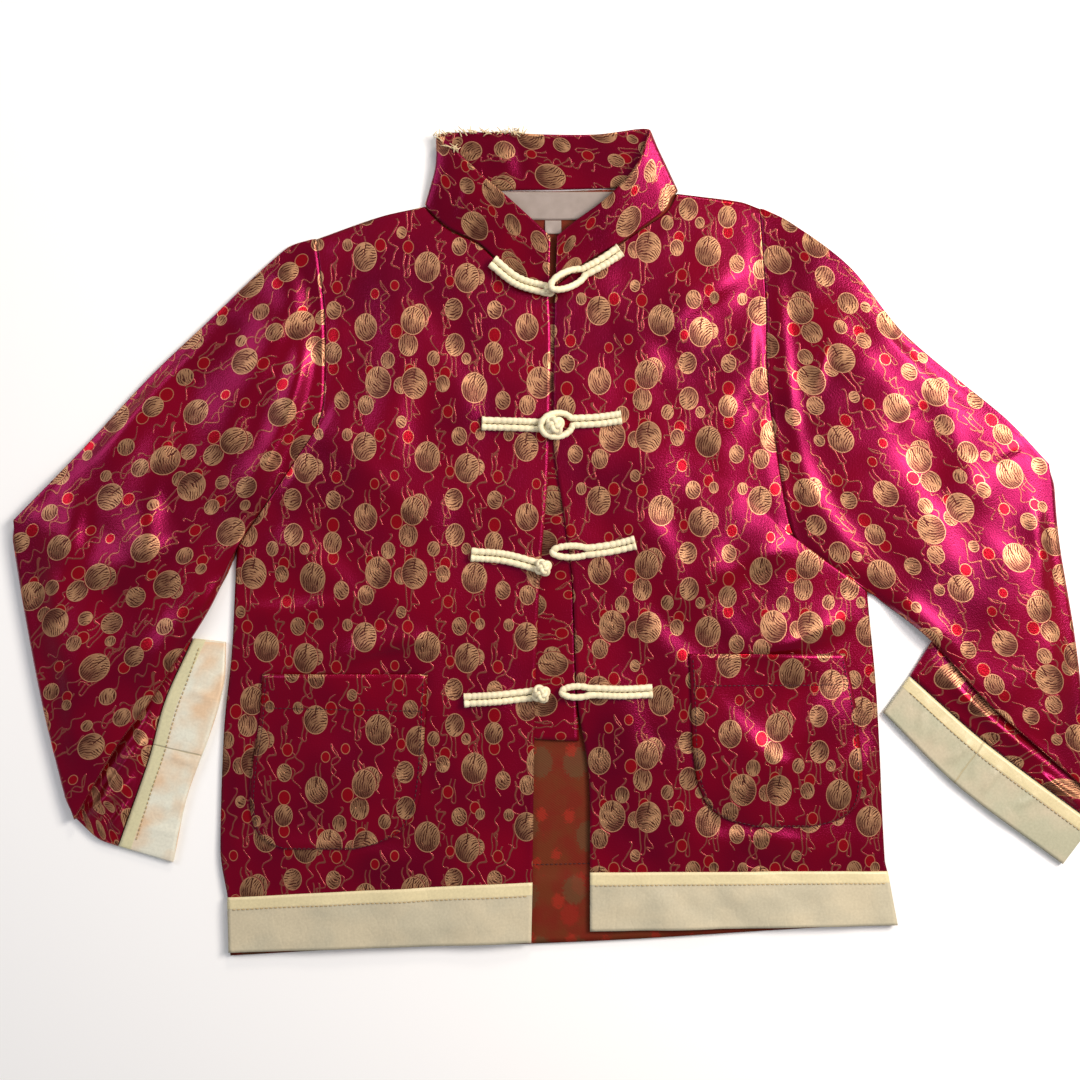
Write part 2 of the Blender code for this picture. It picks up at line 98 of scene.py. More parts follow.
def clouds(tree, place, scale, detail, out=0):
    """Flat noise with so many features in a unit of place."""
    inputs = {"Vector": place, "Scale": scale, "Detail": detail}
    return add(tree, "TexNoise", inputs, out=out, noise_dimensions="2D")


def on_cloth(tree):
    """The place on the flat cloth in millimetres, across and along its warp."""
    place = add(tree, "UVMap", uv_map="weave")
    return vector(tree, "MULTIPLY", place, (1000.0, 1000.0, 0.0))


def new_material(name):
    """An empty material with its output node's surface socket."""
    made = bpy.data.materials.new(name)
    made.use_nodes = True
    made.node_tree.nodes.clear()
    output = made.node_tree.nodes.new("ShaderNodeOutputMaterial")
    return made, made.node_tree, output.inputs["Surface"]


def add_light(name, place, aim, size, watts, colour):
    """A rectangular light at a place, turned to face what it is aimed at."""
    data = bpy.data.lights.new(name, "AREA")
    data.shape = "RECTANGLE"
    data.size, data.size_y = size[0] * MM, size[1] * MM
    data.energy = watts
    data.color = linear(colour)[:3]
    lamp = bpy.data.objects.new(name, data)
    bpy.context.scene.collection.objects.link(lamp)
    away = np.array(place, float) - np.array(aim, float)
    lamp.location = np.array(place) * MM
    turn = math.atan2(away[1], away[0])
    tilt = math.acos(away[2] / np.linalg.norm(away))
    lamp.rotation_euler = (0.0, tilt, turn)
    return lamp


lens = bpy.data.cameras.new("camera")
lens.lens = LENS
lens.sensor_width = SENSOR
lens.dof.use_dof = False
camera = bpy.data.objects.new("camera", lens)
bpy.context.scene.collection.objects.link(camera)
stand_off = VIEW_WIDTH * LENS / SENSOR
camera.location = (VIEW_MIDDLE[0] * MM, VIEW_MIDDLE[1] * MM, (CLOTH_LEVEL + stand_off) * MM)
bpy.context.scene.camera = camera
bpy.context.scene.view_settings.view_transform = "Standard"

floor_paint, tree, surface = new_material("matt white studio paper")
grain = add(tree, "TexNoise", {"Scale": 3.0, "Detail": 4.0})
tint = mixed(tree, grain, linear("#f6f6f4"), linear("#fbfbfa"))
shader = add(tree, "BsdfPrincipled", {"Base Color": tint, "Roughness": 0.9})
tree.links.new(shader, surface)
half = FLOOR_SIZE / 2 * MM
floor_mesh = bpy.data.meshes.new("floor")
corners = [(-half, -half, 0), (half, -half, 0), (half, half, 0), (-half, half, 0)]
floor_mesh.from_pydata([(x, y, -0.0004) for x, y, _ in corners], [], [(0, 1, 2, 3)])
floor_mesh.materials.append(floor_paint)
floor = bpy.data.objects.new("floor", floor_mesh)
bpy.context.scene.collection.objects.link(floor)

world = bpy.data.worlds.new("studio")
world.use_nodes = True
world.node_tree.nodes["Background"].inputs["Color"].default_value = linear("#f2f4f8")
world.node_tree.nodes["Background"].inputs["Strength"].default_value = 0.36
bpy.context.scene.world = world
add_light("window", (1180, 560, 1050), (150, 40, 0), (460, 700), 27.0, "#fff6ec")
add_light("skylight", (820, 240, 1230), (370, 110, 0), (430, 610), 7.2, "#fff4f6")
add_light("side_window", (-1500, 800, 1300), (-100, 0, 0), (900, 900), 9.0, "#f4f6ff")
add_light("low_sun", (250, 1700, 900), (0, 0, 0), (300, 300), 9.0, "#fff2e0")


# The brocade.
# A satin-faced jacquard of crimson polyester: the ground's long floats shine hot pink where
# they turn to the light. Gilt yarn weaves discs with ribs, rims and fine wandering threads,
# red yarn weaves smaller beads, and the reverse shows the gilt yarn's brown floats.

REPEAT = (129.0, 152.0)  # across and along the cloth
RIB_SPACING = 1.9  # drawn about twice as coarse as the weave's, so that it shows
YARN_WIDTH = 1.0
RIM_WIDTH = 0.6
DISC_HEIGHT = 1.22  # along the warp, for a width of 1
GROUND = "#690207"
GROUND_DARK = "#4b0105"
GROUND_SHEEN = "#ff3c94"
# The two gilt colours: the lighter also gives a painted glint on one side of each disc, the darker
# the gilt's own duller tone and a painted shade on the other side.
GILT = "#bf9268"
GILT_DULL_AND_SHADED = "#664530"
GILT_SHADE = "#452818"
GILT_RIM = "#b98a64"
THREAD = "#8c4e3c"
BEAD = "#9e1016"
BEAD_RIM = "#c07a58"

# Layers of discs, from the back to the front. Columns: how many across and along a repeat,
# shift of the layer across and along, smallest and largest half width, share of places
# filled, seed of the layer's places.
BEADS = (4, 4, 9.0, 30.0, 3.6, 5.0, 0.92, 11.0)
DISCS = [
    (4, 5, 20.0, 8.0, 3.8, 5.8, 0.74, 23.0),
    (4, 4, 3.0, 13.0, 5.8, 7.8, 0.75, 37.0),
    (3, 3, 0.0, 0.0, 8.6, 10.6, 0.93, 53.0),
]
# Layers of threads that meander along the warp. Columns: how many across and along a
# repeat, shift across and along, length, swing to each side, wavelength, seed.
MEANDERS = [
    (5, 4, 6.0, 9.0, 31.0, 2.4, 14.0, 71.0),
    (4, 3, 21.0, 31.0, 40.0, 3.4, 19.0, 83.0),
]
# The layer of hairpins. Columns: how many across and along a repeat, shift across and
# along, length, half width, seed.
HAIRPINS = (4, 4, 14.0, 22.0, 17.0, 2.0, 89.0)


def places(tree, cloth, across, along, shift, seed):
    """Divides the repeat into across x along cells. Gives the place within the cell from its
    middle, and three random numbers that are the same in each repeat."""
    cell = (REPEAT[0] / across, REPEAT[1] / along, 1.0)
    moved = vector(tree, "ADD", cloth, (*shift, 0.5))
    scaled = vector(tree, "DIVIDE", moved, cell)
    index = vector(tree, "FLOOR", scaled)
    wrapped = vector(tree, "WRAP", index, (across, along, 1.0), (0.0, 0.0, 0.0))
    seeded = vector(tree, "ADD", wrapped, (0.5, 0.5, seed))
    chance = add(tree, "TexWhiteNoise", {"Vector": seeded}, out=1, noise_dimensions="3D")
    fraction = vector(tree, "FRACTION", scaled)
    centred = vector(tree, "SUBTRACT", fraction, (0.5, 0.5, 0.5))
    local = vector(tree, "MULTIPLY", centred, cell)
    return local, chance, cell


def moved_by(tree, local, chance, room):
    """The place in a cell from its own middle, which chance moves about in the room."""
    spread = vector(tree, "SUBTRACT", chance, (0.5, 0.5, 0.5))
    jitter = vector(tree, "MULTIPLY", spread, room)
    return vector(tree, "SUBTRACT", local, jitter)


def pushed_about(tree, chance, seen, amount):
    """The place pushed about by noise that differs from cell to cell."""
    own = vector(tree, "MULTIPLY_ADD", chance, (90.0, 90.0, 90.0), seen)
    sway = clouds(tree, own, 0.085, 0.0, out=1)
    push = vector(tree, "SUBTRACT", sway, (0.5, 0.5, 0.5))
    return vector(tree, "MULTIPLY_ADD", push, (*amount, 0.0), seen)


def disc_layer(tree, cloth, row):
    """One layer of discs: a disc in each cell, moved about as far as it stays inside. Gives
    the depth inside the disc's edge, the place turned a different way on each disc, and the
    distance from the disc's stem, a thread that comes down the warp into its top."""
    across, along, x, y, smallest, largest, filled, seed = row
    local, chance, cell = places(tree, cloth, across, along, (x, y), seed)
    room = (cell[0] - 2 * largest, cell[1] - 2.1 * largest * DISC_HEIGHT, 0.0)
    from_middle = moved_by(tree, local, chance, room)
    round_scale = (1.0, 1 / DISC_HEIGHT, 0.0)
    flattened = vector(tree, "MULTIPLY", from_middle, round_scale)
    reach = vector(tree, "LENGTH", flattened, out=1)
    dice = add(tree, "SeparateXYZ", [chance], out=2)
    size = add(tree, "MapRange", [dice, 0.0, filled, smallest, largest], clamp=False)
    there = maths(tree, "LESS_THAN", dice, filled)
    radius = maths(tree, "MULTIPLY", size, there)
    depth = maths(tree, "SUBTRACT", radius, reach)
    angle = maths(tree, "MULTIPLY", dice, 40.0)
    turned = add(
        tree, "VectorRotate", {"Vector": flattened, "Angle": angle}, rotation_type="Z_AXIS"
    )
    aside = add(tree, "SeparateXYZ", [from_middle], out=0)
    up = add(tree, "SeparateXYZ", [from_middle], out=1)
    swing = maths(tree, "SINE", maths(tree, "MULTIPLY", up, 0.45))
    aside = maths(tree, "MULTIPLY_ADD", swing, 0.55, aside)
    aside = maths(tree, "ABSOLUTE", aside)
    past = maths(tree, "SUBTRACT", up, radius, 1.15 * DISC_HEIGHT)
    past = maths(tree, "SUBTRACT", maths(tree, "ABSOLUTE", past), 6.5)
    stem = maths(tree, "MAXIMUM", aside, past)
    missing = maths(tree, "LESS_THAN", there, 0.5)
    stem = maths(tree, "MULTIPLY_ADD", missing, 9.0, stem)
    return depth, turned, stem


def meander_layer(tree, cloth, row):
    """One layer of wandering threads. Each follows a sine that leans over sideways, across =
    swing sin(wave (along + lean across)), and noise pushes it about. The distance from it is
    across less the sine, divided by sqrt(slope^2 + (1 - lean slope)^2), where slope is swing
    wave cos. It ends at half its length."""
    across, along, x, y, length, swing, wavelength, seed = row
    local, chance, cell = places(tree, cloth, across, along, (x, y), seed)
    room = (cell[0] - 2 * swing - 6.0, max(cell[1] - length, 2.0), 0.0)
    seen = moved_by(tree, local, chance, room)
    pushed = pushed_about(tree, chance, seen, (7.0, 5.0))
    aside = add(tree, "SeparateXYZ", [pushed], out=0)
    run = add(tree, "SeparateXYZ", [pushed], out=1)
    dice = add(tree, "SeparateXYZ", [chance], out=2)
    start = maths(tree, "MULTIPLY", dice, 6.0)
    lean = add(tree, "MapRange", [dice, 0.0, 1.0, -1.0, 1.0])
    leant = maths(tree, "MULTIPLY_ADD", aside, lean, run)
    wave = 2 * math.pi / wavelength
    phase = maths(tree, "MULTIPLY_ADD", leant, wave, start)
    sine = maths(tree, "SINE", phase)
    off = maths(tree, "MULTIPLY_ADD", sine, -swing, aside)
    off = maths(tree, "ABSOLUTE", off)
    slope = maths(tree, "MULTIPLY", maths(tree, "COSINE", phase), swing * wave)
    sideways = maths(tree, "SUBTRACT", 1.0, maths(tree, "MULTIPLY", slope, lean))
    square = maths(tree, "MULTIPLY", sideways, sideways)
    square = maths(tree, "MULTIPLY_ADD", slope, slope, square)
    off = maths(tree, "DIVIDE", off, maths(tree, "SQRT", square))
    past = maths(tree, "SUBTRACT", maths(tree, "ABSOLUTE", run), length / 2)
    return maths(tree, "MAXIMUM", off, past)


def hairpin_layer(tree, cloth, row):
    """The layer of hairpins: the edge of a slot with a round lower end and an open top.
    Gives the distance from the thread."""
    across, along, x, y, length, half_width, seed = row
    local, chance, cell = places(tree, cloth, across, along, (x, y), seed)
    room = (cell[0] - 2 * half_width - 6.0, cell[1] - length - 6.0, 0.0)
    seen = moved_by(tree, local, chance, room)
    pushed = pushed_about(tree, chance, seen, (5.0, 3.0))
    half = length / 2
    inside = vector(tree, "MINIMUM", pushed, (0.0, half, 0.0))
    inside = vector(tree, "MAXIMUM", inside, (0.0, -half, 0.0))
    spine = vector(tree, "MULTIPLY", inside, (0.0, 1.0, 0.0))
    off = vector(tree, "SUBTRACT", pushed, spine)
    flat = vector(tree, "MULTIPLY", off, (1.0, 1.0, 0.0))
    reach = vector(tree, "LENGTH", flat, out=1)
    ring = maths(tree, "SUBTRACT", reach, half_width)
    ring = maths(tree, "ABSOLUTE", ring)
    run = add(tree, "SeparateXYZ", [pushed], out=1)
    past = maths(tree, "SUBTRACT", run, half)
    return maths(tree, "MAXIMUM", ring, past)


def brocade(name):
    """The brocade's right side. Colour, metal and relief are all worked out from the place on
    the cloth in millimetres, across and along the warp."""
    made, tree, surface = new_material(name)
    cloth = on_cloth(tree)

    nearest = hairpin_layer(tree, cloth, HAIRPINS)
    for row in MEANDERS:
        nearest = maths(tree, "MINIMUM", nearest, meander_layer(tree, cloth, row))
    thread = add(tree, "MapRange", [nearest, YARN_WIDTH * 0.62, YARN_WIDTH * 0.38, 0.0, 1.0])

    bead_depth, _, _ = disc_layer(tree, cloth, BEADS)
    bead = maths(tree, "GREATER_THAN", bead_depth, 0.0)
    bead_inner = maths(tree, "GREATER_THAN", bead_depth, RIM_WIDTH)

    depth, turned, _ = disc_layer(tree, cloth, DISCS[0])
    for row in DISCS[1:]:
        over, turn, stem_reach = disc_layer(tree, cloth, row)
        front = maths(tree, "GREATER_THAN", over, -0.5)
        depth = add(tree, "Mix", {0: front, 2: depth, 3: over})
        turned = add(tree, "Mix", {0: front, 4: turned, 5: turn}, out=1, data_type="VECTOR")
    disc = maths(tree, "GREATER_THAN", depth, 0.0)
    disc_inner = maths(tree, "GREATER_THAN", depth, RIM_WIDTH)
    stem = add(tree, "MapRange", [stem_reach, YARN_WIDTH * 0.62, YARN_WIDTH * 0.38, 0.0, 1.0])
    thread = maths(tree, "MAXIMUM", thread, stem)

    # Ribs: curved lines, the place along the disc bent by the square of the place across.
    split = tree.nodes.new("ShaderNodeSeparateXYZ")
    tree.links.new(turned, split.inputs[0])
    x, y = split.outputs[0], split.outputs[1]
    square = maths(tree, "MULTIPLY", x, x)
    bent = maths(tree, "MULTIPLY_ADD", square, 0.045, y)
    waver = clouds(tree, cloth, 0.25, 1.0)
    wavered = maths(tree, "MULTIPLY_ADD", waver, 2.2, bent)
    phase = maths(tree, "MULTIPLY", wavered, 2 * math.pi / RIB_SPACING)
    wave = maths(tree, "SINE", phase)
    breaks = clouds(tree, turned, 0.16, 0.0)
    gate = add(tree, "MapRange", [breaks, 0.32, 0.62, 0.95, 0.05])
    past = maths(tree, "SUBTRACT", wave, gate)
    rib_line = add(tree, "MapRange", [past, 0.0, 0.35, 0.0, 1.0])
    rib_line = maths(tree, "MAXIMUM", rib_line, stem)
    rib = maths(tree, "MULTIPLY", rib_line, disc_inner)

    # Colours, from the ground up.
    cloudy = clouds(tree, cloth, 0.012, 2.0)
    soft = add(tree, "MapRange", [cloudy, 0.3, 0.7, 0.0, 1.0])
    colour = mixed(tree, soft, linear(GROUND_DARK), linear(GROUND))
    # Painted light on the gilt: each disc is painted lighter on one side, a painted glint, and
    # darker on the other, a painted shade, over the yarn's own random tone.
    aged = clouds(tree, cloth, 0.09, 1.0)
    painted_glint_and_tone = maths(tree, "MULTIPLY_ADD", x, 0.07, aged)
    gilt = mixed(tree, painted_glint_and_tone, linear(GILT_DULL_AND_SHADED), linear(GILT))
    layers = [
        (thread, linear(THREAD)),
        (bead, linear(BEAD_RIM)),
        (bead_inner, linear(BEAD)),
        (disc, linear(GILT_RIM)),
        (disc_inner, gilt),
        (rib, linear(GILT_SHADE)),
    ]
    for cover, paint in layers:
        colour = mixed(tree, cover, colour, paint)

    # The figure shines partly as a metal: discs, beads and threads. The ground doesn't.
    yarn = maths(tree, "MAXIMUM", thread, bead)
    figured = maths(tree, "MAXIMUM", yarn, disc)
    metal = maths(tree, "MULTIPLY", figured, 0.68)
    rough = add(tree, "MapRange", [disc, 0.0, 1.0, 0.27, 0.4])

    # Relief: the figure stands a little proud, the ribs are sunk, and the ground is crimped.
    crimp = clouds(tree, cloth, 0.75, 2.0)
    stretched = vector(tree, "MULTIPLY", cloth, (1.6, 0.16, 0.0))
    floats = clouds(tree, stretched, 1.0, 2.0)
    level = maths(tree, "MULTIPLY", crimp, 0.16)
    level = maths(tree, "MULTIPLY_ADD", floats, 0.07, level)
    level = maths(tree, "MULTIPLY_ADD", figured, 0.16, level)
    level = maths(tree, "MULTIPLY_ADD", rib, -0.24, level)
    relief = add(tree, "Bump", {"Strength": 0.8, "Distance": MM, "Height": level})

    warp = add(tree, "Tangent", direction_type="UV_MAP", uv_map="weave")
    shader = add(
        tree,
        "BsdfPrincipled",
        {
            "Base Color": colour,
            "Metallic": metal,
            "Roughness": rough,
            "IOR": 1.7,
            "Specular IOR Level": 0.75,
            "Specular Tint": linear(GROUND_SHEEN),
            "Anisotropic": 0.55,
            "Tangent": warp,
            "Normal": relief,
            "Sheen Weight": 0.05,
            "Sheen Roughness": 0.4,
            "Sheen Tint": linear("#ff4a9a"),
        },
    )
    tree.links.new(shader, surface)
    return made


def brocade_reverse(name):
    """The brocade's reverse: loose gilt-brown floats across a fine diagonal twill, with soft
    red blotches where the beads' yarn comes through and grey-green spots under the discs."""
    made, tree, surface = new_material(name)
    cloth = on_cloth(tree)
    bead_depth, _, _ = disc_layer(tree, cloth, BEADS)
    disc_depth, _, _ = disc_layer(tree, cloth, DISCS[2])
    second, _, _ = disc_layer(tree, cloth, DISCS[1])
    blur = clouds(tree, cloth, 0.5, 3.0)
    fuzzy = add(tree, "MapRange", [blur, 0.3, 0.7, -1.6, 1.6])
    base = linear("#6a2a0a")
    warm = clouds(tree, cloth, 0.05, 3.0)
    mottled = add(tree, "MapRange", [warm, 0.35, 0.65, 0.0, 1.0])
    colour = mixed(tree, mottled, base, linear("#701c06"))
    for depth, paint, strength in (
        (second, "#8a1c0c", 0.75),
        (disc_depth, "#57482a", 0.5),
        (bead_depth, "#9c2412", 0.7),
    ):
        edge = maths(tree, "ADD", depth, fuzzy)
        cover = add(tree, "MapRange", [edge, -0.8, 1.4, 0.0, strength])
        colour = mixed(tree, cover, colour, linear(paint))
    split = tree.nodes.new("ShaderNodeSeparateXYZ")
    tree.links.new(cloth, split.inputs[0])
    slant = add(tree, "Math", [split.outputs[0], 0.7, split.outputs[1]], operation="MULTIPLY_ADD")
    turn = maths(tree, "MULTIPLY", slant, 2 * math.pi / 1.9)
    twill = maths(tree, "SINE", turn)
    shade = add(tree, "MapRange", [twill, -1.0, 1.0, 0.72, 1.0])
    colour = mixed(tree, 1.0, colour, shade, blend_type="MULTIPLY")
    level = maths(tree, "MULTIPLY_ADD", twill, 0.05, blur)
    relief = add(tree, "Bump", {"Strength": 0.5, "Distance": 0.2 * MM, "Height": level})
    shader = add(
        tree,
        "BsdfPrincipled",
        {
            "Base Color": colour,
            "Roughness": 0.7,
            "Specular IOR Level": 0.2,
            "Normal": relief,
        },
    )
    tree.links.new(shader, surface)
    return made


right_side = brocade("satin-faced jacquard brocade")
wrong_side = brocade_reverse("reverse of the jacquard brocade")


# The back.
# One panel of brocade, cut with both shoulders and laid right side down. Its reverse shows
# between the fronts, with the fold of its hem stitched across, and its own cream band lies
# underneath it along the hem.

CLOTH = 1.2
GAP = 0.3
LAYER = CLOTH + GAP
SEAM = 0.5
HEM_DEPTH = 48.0

# Edges of the panels: one row for each place where the edge turns. Columns x, y.
SHOULDER_RIGHT = [(-109, 275), (-144, 267), (-195, 249)]
SHOULDER_LEFT = [(94, 285.5), (144, 279), (160, 273.5)]
ARMHOLE_RIGHT = [(-195, 249), (-189, 195), (-188, 149), (-192, 106), (-212, 72), (-259, 2)]
ARMHOLE_LEFT = [(160, 273.5), (165, 198), (166, 141), (172, 90), (186, 14), (205, -4), (246, -32)]
SIDE_RIGHT = [(-259, 2), (-263, -82), (-269, -141), (-272, -240), (-266, -278), (-265, -322)]
SIDE_LEFT = [(246, -32), (254, -120), (260, -248), (262, -257), (270, -300)]
NECK_BACK = [(-109, 275), (-60, 286.5), (0, 288), (50, 289), (94, 285.5)]
HEM_BACK = [(-264, -325), (-152, -319), (-23, -315.5), (64, -311.5), (166, -305), (269, -299)]


def ease(t):
    """0 below 0, 1 above 1, and a smooth step between: 3 t^2 - 2 t^3."""
    t = np.clip(t, 0.0, 1.0)
    return t * t * (3.0 - 2.0 * t)


def along(points, steps):
    """steps + 1 points, evenly spaced along the smooth line through the given points. Each
    stretch is a Hermite curve, and leaves a point in the direction of its neighbours."""
    p = np.array(points, float)
    before = np.vstack([2 * p[0] - p[1], p[:-1]])
    after = np.vstack([p[1:], 2 * p[-1] - p[-2]])
    tangent = (after - before) / 2
    length = np.linalg.norm(tangent, axis=1, keepdims=True)
    t = np.linspace(0.0, 1.0, 24, endpoint=False)[:, None]
    stretches = []
    for i in range(len(p) - 1):
        reach = np.linalg.norm(p[i + 1] - p[i])
        leaving = tangent[i] * np.minimum(1.0, reach / length[i])
        arriving = tangent[i + 1] * np.minimum(1.0, reach / length[i + 1])
        stretches.append(
            (2 * t**3 - 3 * t**2 + 1) * p[i]
            + (t**3 - 2 * t**2 + t) * leaving
            + (3 * t**2 - 2 * t**3) * p[i + 1]
            + (t**3 - t**2) * arriving
        )
    line = np.vstack([*stretches, p[-1]])
    run = np.concatenate([[0.0], np.cumsum(np.linalg.norm(np.diff(line, axis=0), axis=1))])
    wanted = np.linspace(0.0, run[-1], steps + 1)
    return np.column_stack([np.interp(wanted, run, line[:, k]) for k in range(p.shape[1])])


def joined(*lines):
    """Lines that follow on from each other as one, each meeting point kept once."""
    return np.vstack([lines[0], *[line[1:] for line in lines[1:]]])


def sheet_between(first, last, near, far, lean=1.0):
    """The sheet that blends four edges: the two ruled sheets between opposite edges added,
    less the twisted sheet of the four corners. A lean above 1 makes its rows follow near
    further across."""
    v = np.linspace(0, 1, len(near))[:, None, None]
    u = np.linspace(0, 1, len(first))[None, :, None] ** lean
    lengthways = (1 - v) * first[None] + v * last[None]
    sideways = (1 - u) * near[:, None] + u * far[:, None]
    start = (1 - u) * first[0] + u * first[-1]
    end = (1 - u) * last[0] + u * last[-1]
    return lengthways + sideways - (1 - v) * start - v * end


def raise_to(flat, height):
    """A grid of x, y points given its heights."""
    return np.dstack([flat, np.broadcast_to(height, flat.shape[:2])])


def facing_up(grid, *others):
    """The grids turned left to right where the first one's first face points down."""
    down, across = grid[1, 0] - grid[0, 0], grid[0, 1] - grid[0, 0]
    flip = np.cross(down, across)[2] < 0
    return [g[:, ::-1] if flip else g for g in (grid, *others)]


def cloth_piece(name, grid, weave, thickness, looks, ring=False, offset=1.0):
    """A thin shell on a grid of points. It grows to the side that the faces point to
    (offset 1), away from it (-1), or both ways (0). weave is each point's place on the flat
    cloth, across and along its warp. ring joins each row's end to its start, and then weave
    has one more column. looks are the materials of the faces' side and of the other."""
    rows, across = grid.shape[:2]
    index = np.arange(rows * across).reshape(rows, across)
    place = np.arange(weave.shape[0] * weave.shape[1]).reshape(weave.shape[:2])
    if ring:
        index = np.hstack([index, index[:, :1]])
    corner = [(slice(None, -1), slice(None, -1)), (slice(1, None), slice(None, -1))]
    corner += [(slice(1, None), slice(1, None)), (slice(None, -1), slice(1, None))]
    faces = np.stack([index[c] for c in corner], axis=-1).reshape(-1, 4)
    at_corners = np.stack([place[c] for c in corner], axis=-1).reshape(-1)
    mesh = bpy.data.meshes.new(name)
    mesh.from_pydata((grid.reshape(-1, 3) * MM).tolist(), [], faces.tolist())
    layer = mesh.uv_layers.new(name="weave")
    layer.data.foreach_set("uv", (weave.reshape(-1, 2)[at_corners] * MM).ravel())
    for material in looks:
        mesh.materials.append(material)
    mesh.shade_smooth()
    made = bpy.data.objects.new(name, mesh)
    bpy.context.scene.collection.objects.link(made)
    shell = made.modifiers.new("thickness", "SOLIDIFY")
    shell.thickness = thickness * MM
    shell.offset = offset
    shell.material_offset = len(looks) - 1
    shell.material_offset_rim = 0
    return made


def settle(piece, nodes):
    """The piece rides on the jacket's one body and stands for its CAD nodes."""
    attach(piece, "root")
    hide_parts(*nodes)


back_sides = [
    joined(along(armhole, 88), along(side[:-1], 84), along(side[-2:], 15))
    for armhole, side in ((ARMHOLE_RIGHT, SIDE_RIGHT), (ARMHOLE_LEFT, SIDE_LEFT))
]
back_top = joined(along(SHOULDER_RIGHT[::-1], 26), along(NECK_BACK, 60), along(SHOULDER_LEFT, 20))
back_hem = along(HEM_BACK, len(back_top) - 1)
back_sides[0][-1], back_sides[1][-1] = back_hem[0], back_hem[-1]
back_flat = sheet_between(back_top, back_hem, back_sides[0], back_sides[1])
over_band = ease((np.arange(len(back_flat)) - len(back_flat) + 20.0) / 4.0)[:, None]
back_grid, back_weave = facing_up(raise_to(back_flat, LAYER * over_band), back_flat)
back = cloth_piece("back_panel", back_grid, back_weave, CLOTH, [wrong_side, right_side])
settle(back, ["back"])


# The fronts.
# Two panels of brocade that lie on the back, sewn to it at the shoulders and sides. Their
# front edges lie free on the placket. Handling has left soft folds that fan out from the
# armholes, each steeper on one side, and the satin shows every one.

FINE = 9  # points of a visible grid for each of the CAD grid's
COLUMNS = 84
NECK_ROWS, EDGE_ROWS, ARMHOLE_ROWS, SIDE_ROWS, HEM_ROWS = (FINE * n for n in (5, 13, 8, 10, 2))
AIR = 0.8
SEWN = 18.0  # a fold dies away over this distance from a seam
NECK_RIGHT = [(-109, 275), (-90, 257), (-66, 245), (-51, 232), (-32, 219), (-9, 207)]
NECK_LEFT = [(94, 285.5), (86, 271), (65, 256.5), (48, 245), (19, 228.5), (-4, 210.5)]
EDGE_RIGHT = [(-9, 207), (-7.5, 168), (-9.6, 62), (-16, -22), (-20, -120), (-22, -266), (-23, -314)]
EDGE_LEFT = [(-4, 210.5), (-5, 84), (3, 29), (10, -26), (14, -120), (23, -179)]
EDGE_LEFT += [(24, -258), (24, -305)]

# Folds. Columns: x and y of one end, x and y of the other, how far it bows sideways, half
# width, height. A trough's height is negative.
FOLDS_RIGHT = [
    (-186, 150, -232, 40, 6, 13, 4.2),
    (-190, 128, -110, 20, 10, 22, 2.6),
    (-150, 215, -60, 70, -12, 24, 2.2),
    (-235, 20, -150, -60, -8, 20, 2.4),
    (-262, -46, -150, -36, 6, 12, 1.8),
    (-250, -120, -266, -260, 4, 14, 1.6),
    (-120, 190, -130, 40, 8, 26, 1.8),
    (-70, 60, -150, -90, 14, 26, 1.8),
    (-60, -80, -40, -250, -8, 24, 1.6),
    (-100, -70, -180, -92, 5, 11, 3.2),
    (-240, -236, -90, -256, -5, 14, 1.6),
]
FOLDS_LEFT = [
    (166, 190, 100, 70, -10, 22, 3.0),
    (172, 120, 196, 0, -6, 13, 3.8),
    (160, 230, 60, 150, 8, 20, 2.6),
    (196, 4, 100, -40, 8, 18, 2.6),
    (238, -50, 130, -84, -6, 13, 2.8),
    (120, 140, 60, -20, 12, 24, 2.2),
    (60, 40, 96, -70, -10, 22, 2.0),
    (150, 60, 110, -60, 8, 20, 1.8),
    (250, -140, 252, -262, 4, 13, 1.6),
    (60, -90, 70, -240, 8, 26, 1.8),
    (110, -232, 220, -240, -5, 12, 1.8),
]


def folded(x, y, folds):
    """Height of a table of folds: across each one a bell, exp(-(off / width)^2), round a line
    that bows as run (1 - run), with one side steeper, and fading out at its ends."""
    total = np.zeros_like(x)
    for x0, y0, x1, y1, bow, width, height in folds:
        length = math.hypot(x1 - x0, y1 - y0)
        dx, dy = (x1 - x0) / length, (y1 - y0) / length
        run = ((x - x0) * dx + (y - y0) * dy) / length
        off = (x - x0) * dy - (y - y0) * dx - 4 * bow * run * (1 - run)
        side = np.where(off > 0, width, width * 0.55)
        total += height * ease(run / 0.3) * ease((1 - run) / 0.4) * np.exp(-((off / side) ** 2))
    return total


def uneven(x, y, seed, amount, shortest=34.0, longest=110.0):
    """Soft unevenness: plane waves in seeded directions, the longer the higher, over a place
    that is itself swayed by a slow wave."""
    dice = np.random.default_rng(seed)
    x, y = x + 9 * np.sin(y / 31 + seed), y + 9 * np.sin(x / 37 + 2 * seed)
    total = np.zeros_like(x)
    for _ in range(14):
        length = dice.uniform(shortest, longest)
        angle, phase = dice.uniform(0, math.pi), dice.uniform(0, 2 * math.pi)
        swing = 2 * math.pi * (x * math.cos(angle) + y * math.sin(angle)) / length + phase
        total += length / longest * np.sin(swing)
    return amount * total / 2.6


